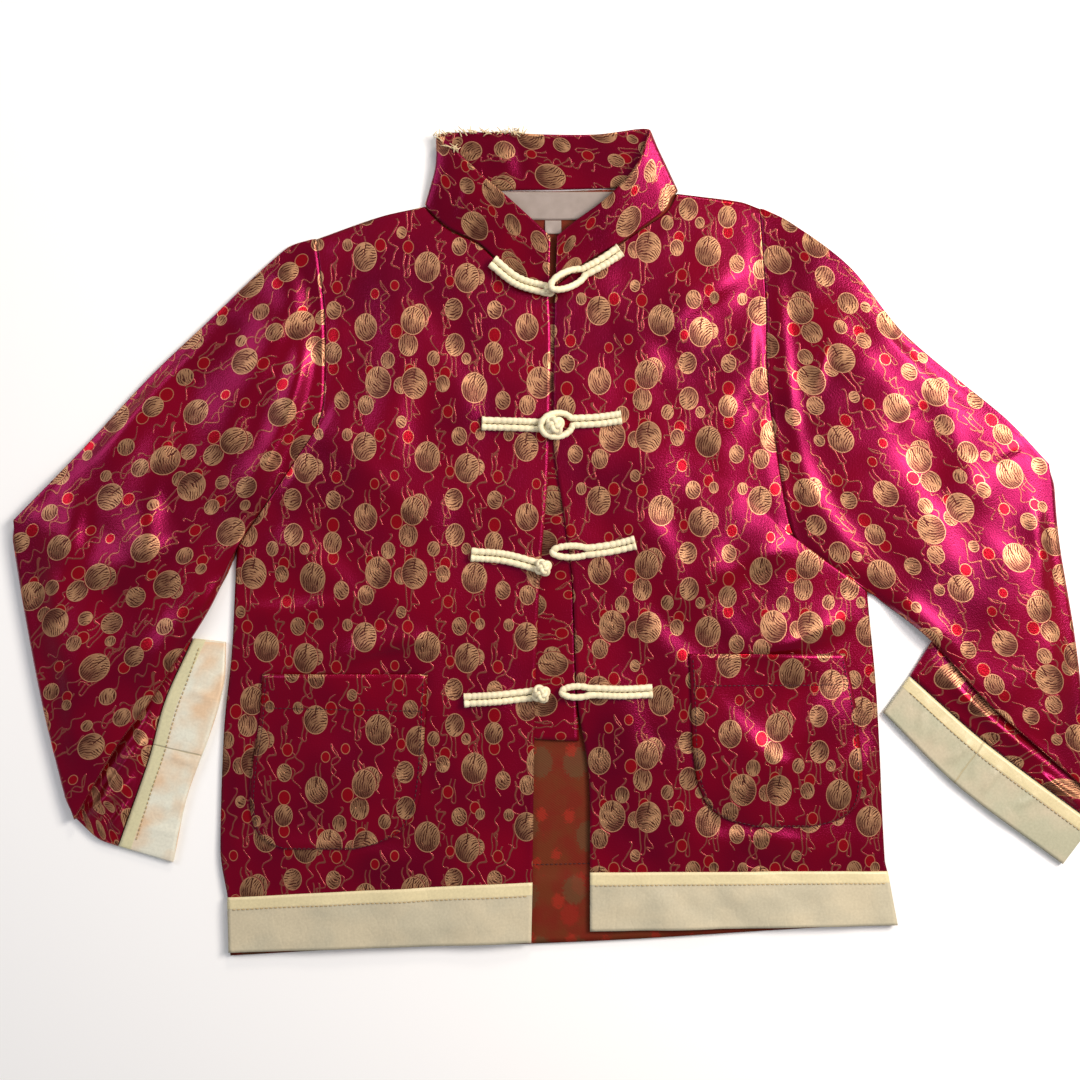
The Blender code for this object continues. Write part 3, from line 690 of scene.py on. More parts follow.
def front_panel(neck, edge, armhole, side, shoulder, folds, seed):
    """The underside of a front: the sheet between its edges, on the back at the side and
    shoulder, a layer higher over the placket and the hem, plus folds away from the seams."""
    near = joined(along(neck, NECK_ROWS), along(edge[:-1], EDGE_ROWS), along(edge[-2:], HEM_ROWS))
    far = [along(armhole, ARMHOLE_ROWS), along(side[:-1], SIDE_ROWS), along(side[-2:], HEM_ROWS)]
    far = joined(*far)
    first = along(shoulder, COLUMNS)
    last = along([near[-1], far[-1]], COLUMNS)
    flat = sheet_between(first, last, near, far)
    v = np.linspace(0, 1, len(near))[:, None]
    u = np.linspace(0, 1, len(first))[None]
    over_placket = ease(v / 0.12) * (1 - ease((u - 0.55) / 0.4))
    over_hem = ease((v - 0.78) / 0.12)
    width = np.linalg.norm(far - near, axis=1)[:, None]
    length = np.linalg.norm(np.diff(near, axis=0), axis=1).sum()
    beside_neck = 1 - (1 - ease(u * width / SEWN)) * (1 - ease((v - 0.22) / 0.06))
    loose = ease((1 - u) * width / SEWN) * ease(v * length / SEWN) * beside_neck
    x, y = flat[..., 0], flat[..., 1]
    folds = [(*row[:-1], 1.5 * row[-1]) for row in folds]
    free_edge = 1 - 0.75 * (1 - ease(u * width / 40)) * ease((v - 0.22) / 0.06)
    lift = folded(x, y, folds) + np.maximum(uneven(x, y, seed, 1.2, 28.0), -0.8)
    rise = np.maximum(over_placket, over_hem)
    height = LAYER * (1 + rise) + loose * free_edge * np.maximum(AIR + lift, 0.0)
    return facing_up(raise_to(flat, height), flat)


def kept_above(piece, level):
    """The shell made into a plain mesh. Where its thickness would dip below a level at a
    sharp edge, its points are brought back up to it."""
    shell = piece.evaluated_get(bpy.context.evaluated_depsgraph_get())
    solid = bpy.data.meshes.new_from_object(shell)
    points = np.empty(3 * len(solid.vertices))
    solid.vertices.foreach_get("co", points)
    points[2::3] = np.maximum(points[2::3], level * MM)
    solid.vertices.foreach_set("co", points)
    piece.modifiers.clear()
    piece.data = solid


front_right, weave_right = front_panel(
    NECK_RIGHT, EDGE_RIGHT, ARMHOLE_RIGHT, SIDE_RIGHT, SHOULDER_RIGHT, FOLDS_RIGHT, 5
)
front_left, weave_left = front_panel(
    NECK_LEFT, EDGE_LEFT, ARMHOLE_LEFT, SIDE_LEFT, SHOULDER_LEFT, FOLDS_LEFT, 8
)
for side, grid, weave, size, area in (
    ("right", front_right, weave_right + [0.0, 0.0], (0.263, 0.59), 0.128),
    ("left", front_left, weave_left + [71.0, 43.0], (0.25, 0.60), 0.1165),
):
    piece = cloth_piece(f"front_panel_{side}", grid, weave, CLOTH, [right_side, wrong_side])
    kept_above(piece, LAYER)
    settle(piece, [f"front_{side}"])


# The placket.
# A strip of the brocade cut across the warp, so that its figure lies on its side. It is sewn
# behind the wearer's right edge and shows in the gap between the fronts.

PLACKET = [(-32, 198), (6, 198), (15, -153), (-32, -151)]
strip = sheet_between(
    along(PLACKET[:2], 12),
    along(PLACKET[:1:-1], 12),
    along(PLACKET[::3], 110),
    along(PLACKET[1:3], 110),
)
# It bulges a little into the gap between the fronts, and lies flat under them.
gap_middle = np.interp(strip[..., 1], [-153, -26, 84, 198], [-3.0, -3.0, -7.0, -7.0])
gap_half = np.interp(strip[..., 1], [-153, -26, 84, 198], [15.0, 11.0, 2.0, 1.0])
bulge = np.exp(-(((strip[..., 0] - gap_middle) / gap_half) ** 2)) * ease((gap_half - 3.0) / 8.0)
waves = 0.5 + 0.5 * np.sin(strip[..., 1] / 21.0) * np.sin(strip[..., 1] / 47.0 + 1.0)
strip_grid = raise_to(strip, LAYER + 1.9 * bulge * waves)
strip_weave = strip[..., ::-1] * [1.0, -1.0] + [17.0, 60.0]
strip_grid, strip_weave = facing_up(strip_grid, strip_weave)
placket = cloth_piece("placket_strip", strip_grid, strip_weave, CLOTH, [right_side, wrong_side])
settle(placket, ["under_placket"])


# The patch pockets.
# Each is a rounded patch of brocade with its top edge turned in and stitched, sewn on round
# its sides and bottom. The tops hang a little open and the patches have gone slack.

POCKET_STEPS = 46
# Columns: y, x of the side nearer the front edge, x of the outer side.
POCKETS = {
    "right": [
        (-99, -106, -238),
        (-140, -108, -241),
        (-180, -110.5, -247),
        (-205, -114.5, -248),
        (-222, -124, -244.5),
        (-233, -142, -235),
        (-239, -165, -219),
    ],
    "left": [
        (-83, 103, 228),
        (-122, 105, 236),
        (-160, 106.5, 240),
        (-187, 110.5, 241),
        (-205, 119, 237),
        (-215, 133, 224),
        (-221, 158, 200),
    ],
}
SLACK = {"right": (5.2, 1.6, 0.30), "left": (3.8, 4.4, 0.55)}  # gape, bulge, where it bulges
# Folds, in the columns of the fronts' tables.
POCKET_FOLDS = {
    "right": [(-118, -112, -205, -220, 6, 14, 1.2)],
    "left": [(112, -100, 205, -190, 9, 15, 2.6), (218, -100, 148, -206, -7, 11, 1.9)],
}
SHIFTS = {"right": (39.0, 66.0), "left": (96.0, 21.0)}  # the patch's place on its cloth


def lying_on(panel, points):
    """Height of a panel's underside at x, y points: the mean of its points near each one,
    weighted by a bell of their distance."""
    reach = 2.4
    known = panel.reshape(-1, 3)
    wanted = points.reshape(-1, points.shape[-1])[:, :2]
    heights = []
    for some in np.array_split(wanted, max(1, len(wanted) // 400)):
        away = ((some[:, None] - known[None, :, :2]) ** 2).sum(axis=-1)
        weight = np.exp(-(away - away.min(axis=1, keepdims=True)) / (2 * reach**2))
        heights.append(weight @ known[:, 2] / weight.sum(axis=1))
    return np.concatenate(heights).reshape(points.shape[:-1])


pocket_grids = {}
for side, panel in (("right", front_right), ("left", front_left)):
    table = np.array(POCKETS[side], float)
    inner = along(table[:, [1, 0]], POCKET_STEPS)
    outer = along(table[:, [2, 0]], POCKET_STEPS)
    across = np.linspace(0, 1, POCKET_STEPS)[None]
    down = np.linspace(0, 1, POCKET_STEPS + 1)[:, None]
    flat = inner[:, None] * (1 - across[..., None]) + outer[:, None] * across[..., None]
    gape, bulge, middle = SLACK[side]
    slack = np.sqrt(np.sin(math.pi * across)) * (
        gape * (1 - ease(down / 0.32)) * (0.6 + 0.4 * np.sin(9.0 * across + 1.0))
        + bulge * np.exp(-(((down - middle) / 0.28) ** 2)) * (0.7 + 0.3 * np.cos(7.0 * across))
    )
    slack += 0.5 * np.sin(math.pi * across) * (1 + uneven(flat[..., 0], flat[..., 1], 3, 0.5))
    slack += np.sin(math.pi * across) * folded(flat[..., 0], flat[..., 1], POCKET_FOLDS[side])
    lift = np.maximum(slack, 0) * ease((1 - down) / 0.1)
    height = lying_on(panel, flat) + CLOTH + GAP + 0.3 + lift
    grid, weave = facing_up(raise_to(flat, height), flat + SHIFTS[side])
    pocket_grids[side] = grid
    pocket = cloth_piece(f"patch_pocket_{side}", grid, weave, CLOTH * 0.8, [right_side, wrong_side])
    settle(pocket, [f"pocket_{side}"])


# The hem bands.
# Straight bands of plain cream polyester satin sewn along the lower edges. The edge of the
# seam allowance inside makes a warmer strip along the top, with one row of stitching.

STRIP = 10.0  # from the band's seam to its stitching


def satin(name, body, pale, painted_sheen, joined_at=-1e4):
    """Plain cream satin. Its place runs along the band, and down from its seam: the first
    stretch lies double over the allowance and is warmer. Handling has left a web of small
    dents. Patches of a second colour are painted sheen, standing for the floats' mottled gloss, and
    the cross seam's crease is painted darker, a painted shade. joined_at is where a cross seam
    closes it."""
    made, tree, surface = new_material(name)
    cloth = on_cloth(tree)
    down = add(tree, "SeparateXYZ", [cloth], out=1)
    double = add(tree, "MapRange", [down, STRIP - 0.5, STRIP + 0.5, 1.0, 0.0])
    patches = clouds(tree, cloth, 0.022, 3.0)
    # Painted sheen: noise patches of the sheen colour stand in for the floats' mottled gloss.
    painted_sheen_patches = add(tree, "MapRange", [patches, 0.4, 0.62, 0.0, 1.0])
    colour = mixed(tree, painted_sheen_patches, linear(body), linear(painted_sheen))
    colour = mixed(tree, double, colour, linear(pale))
    fine = clouds(tree, cloth, 0.5, 4.0)
    tinted = add(tree, "MapRange", [fine, 0.3, 0.7, 0.93, 1.03])
    colour = mixed(tree, 1.0, colour, tinted, blend_type="MULTIPLY")
    slanted = add(
        tree, "Mapping", {"Vector": cloth, "Rotation": (0.0, 0.0, 0.6), "Scale": (1.0, 0.45, 1.0)}
    )
    dents = clouds(tree, slanted, 0.075, 2.5)
    off = maths(tree, "SUBTRACT", dents, 0.5)
    valley = maths(tree, "ABSOLUTE", off)
    sharp = add(tree, "MapRange", [valley, 0.0, 0.09, 0.0, 1.0])
    level = maths(tree, "MULTIPLY", fine, 0.09)
    level = maths(tree, "MULTIPLY_ADD", sharp, 0.13, level)
    run = add(tree, "SeparateXYZ", [cloth], out=0)
    run = maths(tree, "MULTIPLY_ADD", dents, 5.0, run)
    from_join = maths(tree, "SUBTRACT", run, joined_at)
    from_join = maths(tree, "ABSOLUTE", from_join)
    crease = add(tree, "MapRange", [from_join, 0.1, 1.0, 0.8, 0.0])
    level = maths(tree, "MULTIPLY_ADD", crease, -0.7, level)
    level = maths(tree, "MULTIPLY_ADD", double, 0.25, level)
    # Painted shade: the cross seam's crease is darkened in colour as well as sunk in the relief.
    colour = mixed(tree, crease, colour, linear("#a39570"))
    relief = add(tree, "Bump", {"Strength": 0.6, "Distance": MM, "Height": level})
    warp = add(tree, "Tangent", direction_type="UV_MAP", uv_map="weave")
    shader = add(
        tree,
        "BsdfPrincipled",
        {
            "Base Color": colour,
            "Roughness": 0.42,
            "IOR": 1.55,
            "Specular IOR Level": 0.6,
            "Anisotropic": 0.5,
            "Tangent": warp,
            "Normal": relief,
            "Sheen Weight": 0.15,
            "Sheen Roughness": 0.4,
            "Sheen Tint": linear("#fff8e8"),
        },
    )
    tree.links.new(shader, surface)
    return made


band_satin = satin("plain cream polyester satin", "#bcb398", "#d6c89c", "#c6ba9c")
band_grids = {}
for side, panel in (("right", front_right), ("left", front_left)):
    grid = panel[-1 - HEM_ROWS :] + [0, 0, LAYER]
    down = np.linspace(0, HEM_DEPTH, HEM_ROWS + 1)[:, None]
    ripple = 0.35 * (1 + uneven(grid[..., 0], grid[..., 1] * 2, 17, 0.9, 26.0, 80.0))
    grid = grid + np.dstack([0 * ripple, 0 * ripple, np.maximum(ripple, 0) * ease(down / 12)])
    weave = np.dstack([grid[..., 0], np.broadcast_to(down, grid.shape[:2])])
    band_grids[side] = grid
    band = cloth_piece(f"cream_band_{side}", grid, weave, CLOTH, [band_satin])
    settle(band, [f"hem_band_{side}"])

under = back_grid[-15:] * [1, 1, 0]
down_band = np.broadcast_to(np.linspace(0, 44, 15)[:, None], under.shape[:2])
under_weave = np.dstack([under[..., 0], down_band])
back_band = cloth_piece("cream_band_back", under, under_weave, CLOTH, [band_satin])
settle(back_band, ["hem_band_back"])


# The sleeves.
# Each is a flat tube of brocade set into the armhole, with the warp along the arm. The
# forearm is folded back under, so that the cuff comes out beside the body.

SLEEVE_HOLLOW = 1.8
SLEEVE_STACK = 2 * CLOTH + SLEEVE_HOLLOW
ACROSS_SLEEVE = 72
ALONG_SLEEVE = 88
ALONG_FOREARM = 52
TURN_ROWS = 11
EDGE_POINTS = 5
PUFF = 2.6  # how far the upper wall of a flat sleeve stands off
SLEEVES = {
    "right": {
        "armhole": ARMHOLE_RIGHT,
        "top": [(-195, 249), (-220, 240), (-288, 176), (-330, 136), (-402, 58), (-436, 23)],
        "low": [(-259, 2), (-280, -46), (-310, -93), (-330, -124), (-354, -156), (-388, -214)],
        "fold": [(-436, 23), (-425, -46), (-409, -129), (-388, -214)],
        "hidden": [(-436, 23), (-360, -34), (-295, -72)],
        "free": [(-388, -214), (-370, -230), (-354, -236)],
        "cuff_seam": [(-295, -72), (-317, -121), (-330, -168), (-354, -236)],
        "cuff_edge": [(-268, -75), (-270, -110), (-282, -151), (-299, -197), (-310, -249)],
        "outward": (-0.98, 0.2),
        "warp": (-0.70, -0.71),
        "open_side": 1,
        "depth": 1.6,
        "folds": [
            (-196, 190, -262, 20, -10, 12, 4.2),
            (-205, 235, -300, 40, -8, 20, 3.2),
            (-250, 200, -400, 20, 10, 22, 3.0),
            (-300, 140, -330, -90, 14, 22, 3.0),
            (-262, -20, -340, -120, 8, 15, 3.0),
            (-380, 60, -420, -80, -6, 18, 3.2),
            (-360, 20, -385, -190, 10, 20, 3.0),
            (-420, -60, -392, -205, 3, 11, 3.0),
            (-300, 30, -380, -30, -8, 18, 2.0),
            (-212, 70, -300, -40, -14, 16, 2.4),
        ],
        "forearm_folds": [
            (-384, -196, -318, -110, 3, 7, 3.8),
            (-374, -214, -322, -140, -3, 6, 3.4),
            (-388, -214, -336, -176, 3, 6, 3.6),
            (-362, -226, -340, -196, 0, 6, 2.6),
        ],
        "seed": 12,
    },
    "left": {
        "armhole": ARMHOLE_LEFT,
        "top": [(160, 273.5), (184, 262), (232, 226), (276, 172), (352, 108), (390, 68)],
        "low": [(246, -32), (295, -71), (340, -120), (383, -158), (422, -192)],
        "fold": [(390, 68), (395, 8), (408, -72), (422, -192)],
        "hidden": [(390, 68), (330, -25), (281.6, -101.6)],
        "free": [(422, -192), (426, -206), (427, -218)],
        "cuff_seam": [(281.6, -101.6), (340, -153), (427, -218)],
        "cuff_edge": [(260, -131), (320, -190), (402, -251)],
        "outward": (0.995, 0.07),
        "warp": (0.62, -0.785),
        "open_side": -1,
        "depth": 0.95,
        "folds": [
            (172, 235, 196, 60, 5, 12, 3.4),
            (180, 215, 300, 60, -10, 24, 3.6),
            (225, 215, 370, 60, 8, 22, 3.2),
            (185, 90, 250, -20, 8, 16, 3.4),
            (214, 166, 204, 124, 0, 6, 2.4),
            (240, 110, 330, -60, -8, 26, 3.0),
            (300, 130, 360, 0, 8, 20, 2.8),
            (320, 30, 410, -130, -10, 24, 3.0),
            (262, -30, 340, -110, -4, 13, 2.2),
            (380, 60, 384, -60, -3, 14, 2.6),
            (256, 96, 300, 120, 0, 6, -1.6),
            (340, 64, 380, 84, 0, 7, -1.6),
        ],
        "forearm_folds": [
            (300, -92, 404, -180, 3, 7, 2.6),
            (340, -120, 420, -196, -3, 6, 2.8),
            (380, -176, 424, -206, 2, 6, 2.6),
        ],
        "seed": 31,
    },
}


def ring_of(upper, lower, bulge, weave_upper, weave_lower):
    """Rows that run over the upper wall and back under the lower one, joined at each side by
    half an ellipse. Gives the ring's points, and their places on the cloth with one more
    column where the ring closes."""
    turn = np.linspace(0, math.pi, EDGE_POINTS + 2)[1:-1]

    def side(top, bottom, inner, descending):
        middle, half = (top + bottom) / 2, (top - bottom) / 2
        away = (top - inner) * [1, 1, 0]
        away *= bulge[:, None] / np.linalg.norm(away, axis=1, keepdims=True)
        angle = turn if descending else turn[::-1]
        return np.stack([middle + away * math.sin(a) + half * math.cos(a) for a in angle], axis=1)

    def between(a, b):
        share = np.linspace(0, 1, EDGE_POINTS + 2)[1:-1, None]
        return a[:, None] * (1 - share) + b[:, None] * share

    end = side(upper[:, -1], lower[:, -1], upper[:, -2], True)
    start = side(upper[:, 0], lower[:, 0], upper[:, 1], False)
    points = np.concatenate([upper, end, lower[:, ::-1], start], axis=1)
    back_round = weave_lower[:, ::-1]
    closing = between(back_round[:, -1], weave_upper[:, 0])
    weave = [weave_upper, between(weave_upper[:, -1], back_round[:, 0]), back_round, closing]
    return points, np.concatenate([*weave, weave_upper[:, :1]], axis=1)


def turned_ring(weave):
    """The cloth's places for a ring whose points run the other way round. The last column is
    where the ring closes, so it turns about the column before it."""
    return np.concatenate([weave[:, -2::-1], weave[:, -2:-1]], axis=1)


def beside_line(points, line):
    """How far x, y points lie to the left of a line, measured from its nearest point."""
    nearest = ((points[..., None, :] - line) ** 2).sum(axis=-1).argmin(axis=-1)
    run = np.gradient(line, axis=0)
    run /= np.linalg.norm(run, axis=1, keepdims=True)
    off, run = points - line[nearest], run[nearest]
    return run[..., 0] * off[..., 1] - run[..., 1] * off[..., 0]


def mirrored(points, start, end):
    """x, y points reflected in the line from start to end."""
    run = (end - start) / np.linalg.norm(end - start)
    off = points - start
    return start + 2 * (off @ run)[..., None] * run - off


def sleeve_tube(shape):
    """The outside of a sleeve: a flat tube from the armhole to the fold, half a turn round
    the fold, and the forearm back underneath. The upper wall carries the folds, and the
    forearm's upper wall has its own where it shows. The cloth's place is x, y turned so that
    the warp runs down the arm, and reflected in the fold for the forearm."""
    fold = along(shape["fold"], ACROSS_SLEEVE)
    outward = np.array([*shape["outward"], 0.0])
    armhole = along(shape["armhole"], ACROSS_SLEEVE) + outward[:2] * SEAM
    near = along([armhole[0], *shape["top"][1:]], ALONG_SLEEVE)
    far = along([armhole[-1], *shape["low"][1:]], ALONG_SLEEVE)
    above = sheet_between(armhole, fold, near, far, lean=2.5)
    cuff_seam = along(shape["cuff_seam"], ACROSS_SLEEVE)
    hidden, free = along(shape["hidden"], ALONG_FOREARM), along(shape["free"], ALONG_FOREARM)
    below = sheet_between(fold, cuff_seam, hidden, free)
    t = np.linspace(0, 1, len(near))[:, None]
    u = np.linspace(0, 1, ACROSS_SLEEVE + 1)[None]
    over_forearm = ease((t - 0.7 + 0.65 * u) / 0.22)
    under_side = over_forearm * (SLEEVE_STACK + GAP)
    opened = 2 * CLOTH + GAP + (SLEEVE_STACK - 2 * CLOTH - GAP) * ease(t / 0.25)
    inside = ease(u / 0.07) * ease((1 - u) / 0.07) * ease(t / 0.07) * ease((1 - t) / 0.10)
    x, y = above[..., 0], above[..., 1]
    body = np.sqrt(np.sin(math.pi * u).clip(0, 1)) * ease(t / 0.3) * PUFF
    folds = [(*row[:-1], shape["depth"] * row[-1]) for row in shape["folds"]]
    lift = body + folded(x, y, folds) + uneven(x, y, shape["seed"], 0.95 * shape["depth"], 28.0)
    upper = raise_to(above, under_side + opened + inside * np.maximum(lift, -0.6))
    lower = raise_to(above, under_side)
    turn = np.linspace(0, math.pi, TURN_ROWS + 1)[1:-1, None, None]
    middle = raise_to(fold[None], SLEEVE_STACK + GAP / 2)
    rounded = (ease(u / 0.07) * ease((1 - u) / 0.07))[..., None] * 0.85 + 0.15
    swing = np.sin(turn) * outward * rounded + np.cos(turn) * np.array([0.0, 0.0, 1.0])
    q = np.linspace(0, 1, len(hidden))[:, None]
    outer_turn = middle + swing * (SLEEVE_STACK + GAP / 2)
    inner_turn = middle + swing * GAP / 2
    forearm_under = raise_to(below, 0.0)
    shown = ease((beside_line(below, far) * shape["open_side"] - 1.0) / 9.0)
    shown = shown * ease(q / 0.10) * ease((1 - q) / 0.10) * ease((1 - u) / 0.05) * ease(u / 0.05)
    creased = 1.6 * folded(below[..., 0], below[..., 1], shape["forearm_folds"])
    forearm_over = raise_to(below, SLEEVE_STACK + shown * (creased + 0.8))
    outside = np.concatenate([upper, outer_turn, forearm_under])
    inner = np.concatenate([lower, inner_turn, forearm_over])

    warp = np.array(shape["warp"]) / np.linalg.norm(shape["warp"])
    weft = np.array([-warp[1], warp[0]])
    frame_of_cloth = np.column_stack([weft, -warp])
    arc = turn[..., :2] * (SLEEVE_STACK + GAP / 2)
    reach = math.pi * (SLEEVE_STACK + GAP / 2)
    unrolled = [
        above,
        fold[None] + outward[:2] * arc,
        mirrored(below, fold[0], fold[-1]) + outward[:2] * reach,
    ]
    place = np.concatenate(unrolled) @ frame_of_cloth
    turned_under = place * [-1, 1] + [2, 0] * place[:, :1]
    bulge = np.full(len(outside), SLEEVE_STACK / 3)
    bulge[0] = 0.4
    return ring_of(outside, inner, bulge, place, turned_under)


for side, size, area in (("right", (0.49, 0.47), 0.150), ("left", (0.51, 0.48), 0.160)):
    tube, weave = sleeve_tube(SLEEVES[side])
    down, over = tube[1, 1] - tube[0, 1], tube[0, 2] - tube[0, 1]
    if np.cross(down, over)[2] < 0:
        tube, weave = tube[:, ::-1], turned_ring(weave)
    sleeve = cloth_piece(
        f"sleeve_tube_{side}", tube, weave, CLOTH, [right_side, wrong_side], ring=True, offset=-1.0
    )
    kept_above(sleeve, 0.0)
    settle(sleeve, [f"sleeve_{side}"])


# The cuffs.
# A straight band of the cream satin joined into a ring and sewn to the end of each sleeve,
# with the seam allowance stitched down inside it. A cross seam closes the ring.

ALONG_CUFF = 16
# Both cuffs are the one cream satin. The right cuff's colours are painted lighter and the left
# cuff's darker: painted light and painted shade, not two different cloths.
cuff_satins = {
    "right": satin("cream polyester satin painted lighter", "#dfddca", "#d3cca2", "#dcbe9b", 92.0),
    "left": satin("cream polyester satin painted darker", "#a8a58a", "#c8ba8e", "#b6ab90", 80.0),
}
CUFF_FOLDS = {
    "right": [
        (-318, -160, -282, -172, 2, 3, 0.9),
        (-300, -110, -272, -124, -2, 5, 1.2),
        (-322, -206, -294, -196, 2, 4, 1.0),
        (-335, -222, -300, -230, -2, 5, 1.0),
    ],
    "left": [
        (300, -112, 288, -150, 3, 3, 1.5),
        (312, -134, 296, -158, 2, 2.4, 1.6),
        (330, -152, 306, -172, -2, 3, 2.0),
        (340, -158, 330, -186, 2, 2.4, 1.4),
        (356, -172, 336, -200, 2, 3, 2.0),
        (384, -196, 362, -206, -1, 2.4, 1.6),
    ],
}
cuff_rows = {}
for side, size in (("right", (0.345, 0.042)), ("left", (0.375, 0.042))):
    shape = SLEEVES[side]
    seam = along(shape["cuff_seam"], ACROSS_SLEEVE)
    edge = along(shape["cuff_edge"], ACROSS_SLEEVE)
    share = np.linspace(0, 1, ALONG_CUFF)[:, None, None]
    away = (edge - seam) / np.linalg.norm(edge - seam, axis=1, keepdims=True)
    flat = (seam + away * 2 * SEAM)[None] * (1 - share) + edge[None] * share
    x, y = flat[..., 0], flat[..., 1]
    u = np.linspace(0, 1, ACROSS_SLEEVE + 1)[None]
    inside = np.sin(math.pi * u) ** 0.5
    loose = ease(share[..., 0] / 0.2)
    lift = 0.8 + folded(x, y, CUFF_FOLDS[side]) + uneven(x, y, 41, 0.35, 16.0, 60.0)
    upper = raise_to(flat, SLEEVE_STACK + inside * loose * np.maximum(lift, 0))
    lower = raise_to(flat, 0.0)
    down = np.linalg.norm(flat - flat[:1], axis=2)
    row = np.abs(down[:, ACROSS_SLEEVE // 2] - STRIP).argmin()
    cuff_rows[side] = upper[row, 2:-2]
    run = np.concatenate([[0.0], np.cumsum(np.linalg.norm(np.diff(seam, axis=0), axis=1))])[None]
    over = np.dstack([np.broadcast_to(run, down.shape), down])
    under = np.dstack([2 * run.max() - over[..., 0], down])
    bulge = np.full(len(upper), SLEEVE_STACK / 3)
    ring, weave = ring_of(upper, lower, bulge, over, under)
    down_step, over_step = ring[1, 1] - ring[0, 1], ring[0, 2] - ring[0, 1]
    if np.cross(down_step, over_step)[2] < 0:
        ring, weave = ring[:, ::-1], turned_ring(weave)
    cuff = cloth_piece(
        f"cream_cuff_{side}", ring, weave, CLOTH, [cuff_satins[side]], ring=True, offset=-1.0
    )
    settle(cuff, [f"cuff_{side}"])


# The stand collar.
# A curved band of brocade on both faces, with the warp along it. It stands from the neck
# seam, leans out at the front ends and lies back behind the neck, so that its inside shows.

COLLAR_STEPS = 230
COLLAR_HEIGHT_STEPS = 22
COLLAR_CLOTH = 2.0
# Columns: seam x, y, z and top x, y, z of the middle of the wall.
COLLAR_ROWS = [
    (-8.5, 208.2, 4.2, -7.5, 250.5, 6.0),
    (-31.5, 220.2, 4.5, -20, 262, 8.0),
    (-50.5, 233.2, 4.5, -40, 280, 9.5),
    (-65.5, 246.2, 4.5, -62, 299, 10.5),
    (-89.5, 258.4, 4.0, -84, 319, 10.0),
    (-104, 271.5, 3.4, -95, 326, 8.0),
    (-107.5, 277.5, 2.3, -98, 331, 5.5),
    (-100, 281, 1.2, -91, 334, 3.4),
    (-60, 287.6, 1.1, -50, 334.5, 2.6),
    (0, 289.2, 1.1, -12, 333, 2.4),
    (50, 290.2, 1.1, 30, 333, 2.6),
    (84, 289.5, 1.2, 62, 337, 3.4),
    (94, 287.5, 2.3, 71, 336, 6.0),
    (89, 282, 3.4, 69, 328, 8.5),
    (83.6, 272, 4.0, 65, 315, 10.0),
    (64.5, 257.4, 4.5, 55, 299, 10.5),
    (47.5, 245.8, 4.5, 36, 280, 9.5),
    (19, 229.4, 4.5, 14, 264, 8.0),
    (-3.5, 211.8, 4.2, -2.5, 251, 6.0),
]
rows = np.array(COLLAR_ROWS, float)
stand_seam, stand_top = along(rows[:, :3], COLLAR_STEPS), along(rows[:, 3:], COLLAR_STEPS)
up = np.linspace(0, 1, COLLAR_HEIGHT_STEPS + 1)[None, :, None]
stand = stand_seam[:, None] * (1 - up) + stand_top[:, None] * up
run = np.concatenate([[0.0], np.cumsum(np.linalg.norm(np.diff(stand_seam, axis=0), axis=1))])
height = np.linalg.norm(stand_top - stand_seam, axis=1)[:, None] * up[..., 0]
# Where it lies back behind the neck it is not quite flat: slow waves along it.
lying = ease((290 - np.abs(run - 150) * 4.2) / 60)[:, None]
waves = 1.0 + np.sin(run / 9.0) + 0.6 * np.sin(run / 4.3 + 1)
sway = lying * np.sin(math.pi * up[..., 0]) * waves[:, None]
stand[..., 2] += 0.9 * sway
raised_top = stand[:, -1]
stand_weave = np.dstack([height + 12.0, np.broadcast_to(run[:, None], height.shape)])
collar = cloth_piece("stand_collar", stand, stand_weave, COLLAR_CLOTH, [right_side], offset=0.0)
settle(collar, ["collar"])


# The labels.
# A bare woven satin label lies across the back neck seam, with a small bare size tag under
# it. Their lower corners curl up a little.

tape, tree, surface = new_material("woven satin label tape")
cloth = on_cloth(tree)
ribs = add(tree, "TexWave", {"Vector": cloth, "Scale": 0.45, "Distortion": 0.6, "Detail": 2.0})
aged = add(tree, "TexNoise", {"Vector": cloth, "Scale": 0.08, "Detail": 3.0})
cream = mixed(tree, aged, linear("#7a6c62"), linear("#9d8f86"))
relief = add(tree, "Bump", {"Strength": 0.35, "Distance": 0.2 * MM, "Height": ribs})
shader = add(
    tree,
    "BsdfPrincipled",
    {"Base Color": cream, "Roughness": 0.4, "Normal": relief, "Sheen Weight": 0.2},
)
tree.links.new(shader, surface)
# Columns: lowest and highest x, lowest and highest y.
LABEL = (-50, 42, 264.8, 287.2)
SIZE_TAG = (-12, 1, 253.5, 264.3)
for name, node, (x0, x1, y0, y1) in (
    ("neck_label", "label", LABEL),
    ("bare_size_tag", "size_tag", SIZE_TAG),
):
    across = np.linspace(0, 1, 33)[None]
    down = np.linspace(0, 1, 13)[:, None]
    flat = np.dstack([x0 + (x1 - x0) * across + 0 * down, y1 + (y0 - y1) * down + 0 * across])
    curl = 0.5 * ease(down / 0.9) * (1.0 + np.cos(math.pi * 2 * across)) * 0.6
    grid, weave = facing_up(raise_to(flat, LAYER + curl), flat)
    tag = cloth_piece(name, grid, weave, 0.5, [tape])
    settle(tag, [node])
    size = ((x1 - x0) * MM, (y1 - y0) * MM)


# The frogs.
# Each closure is two lengths of cream satin tube, doubled and stitched side by side to the
# front. On the wearer's right the tube ends in a button knot, on the left in a loop. The
# stitching on the underside gathers the tube, so that its edges are scalloped.

CORD_RADIUS = 2.6
CORD_SPACING = 2.8
CRIMP = 4.6  # from one gather of the tube to the next
AROUND_CORD = 16
AROUND_THREAD = 6
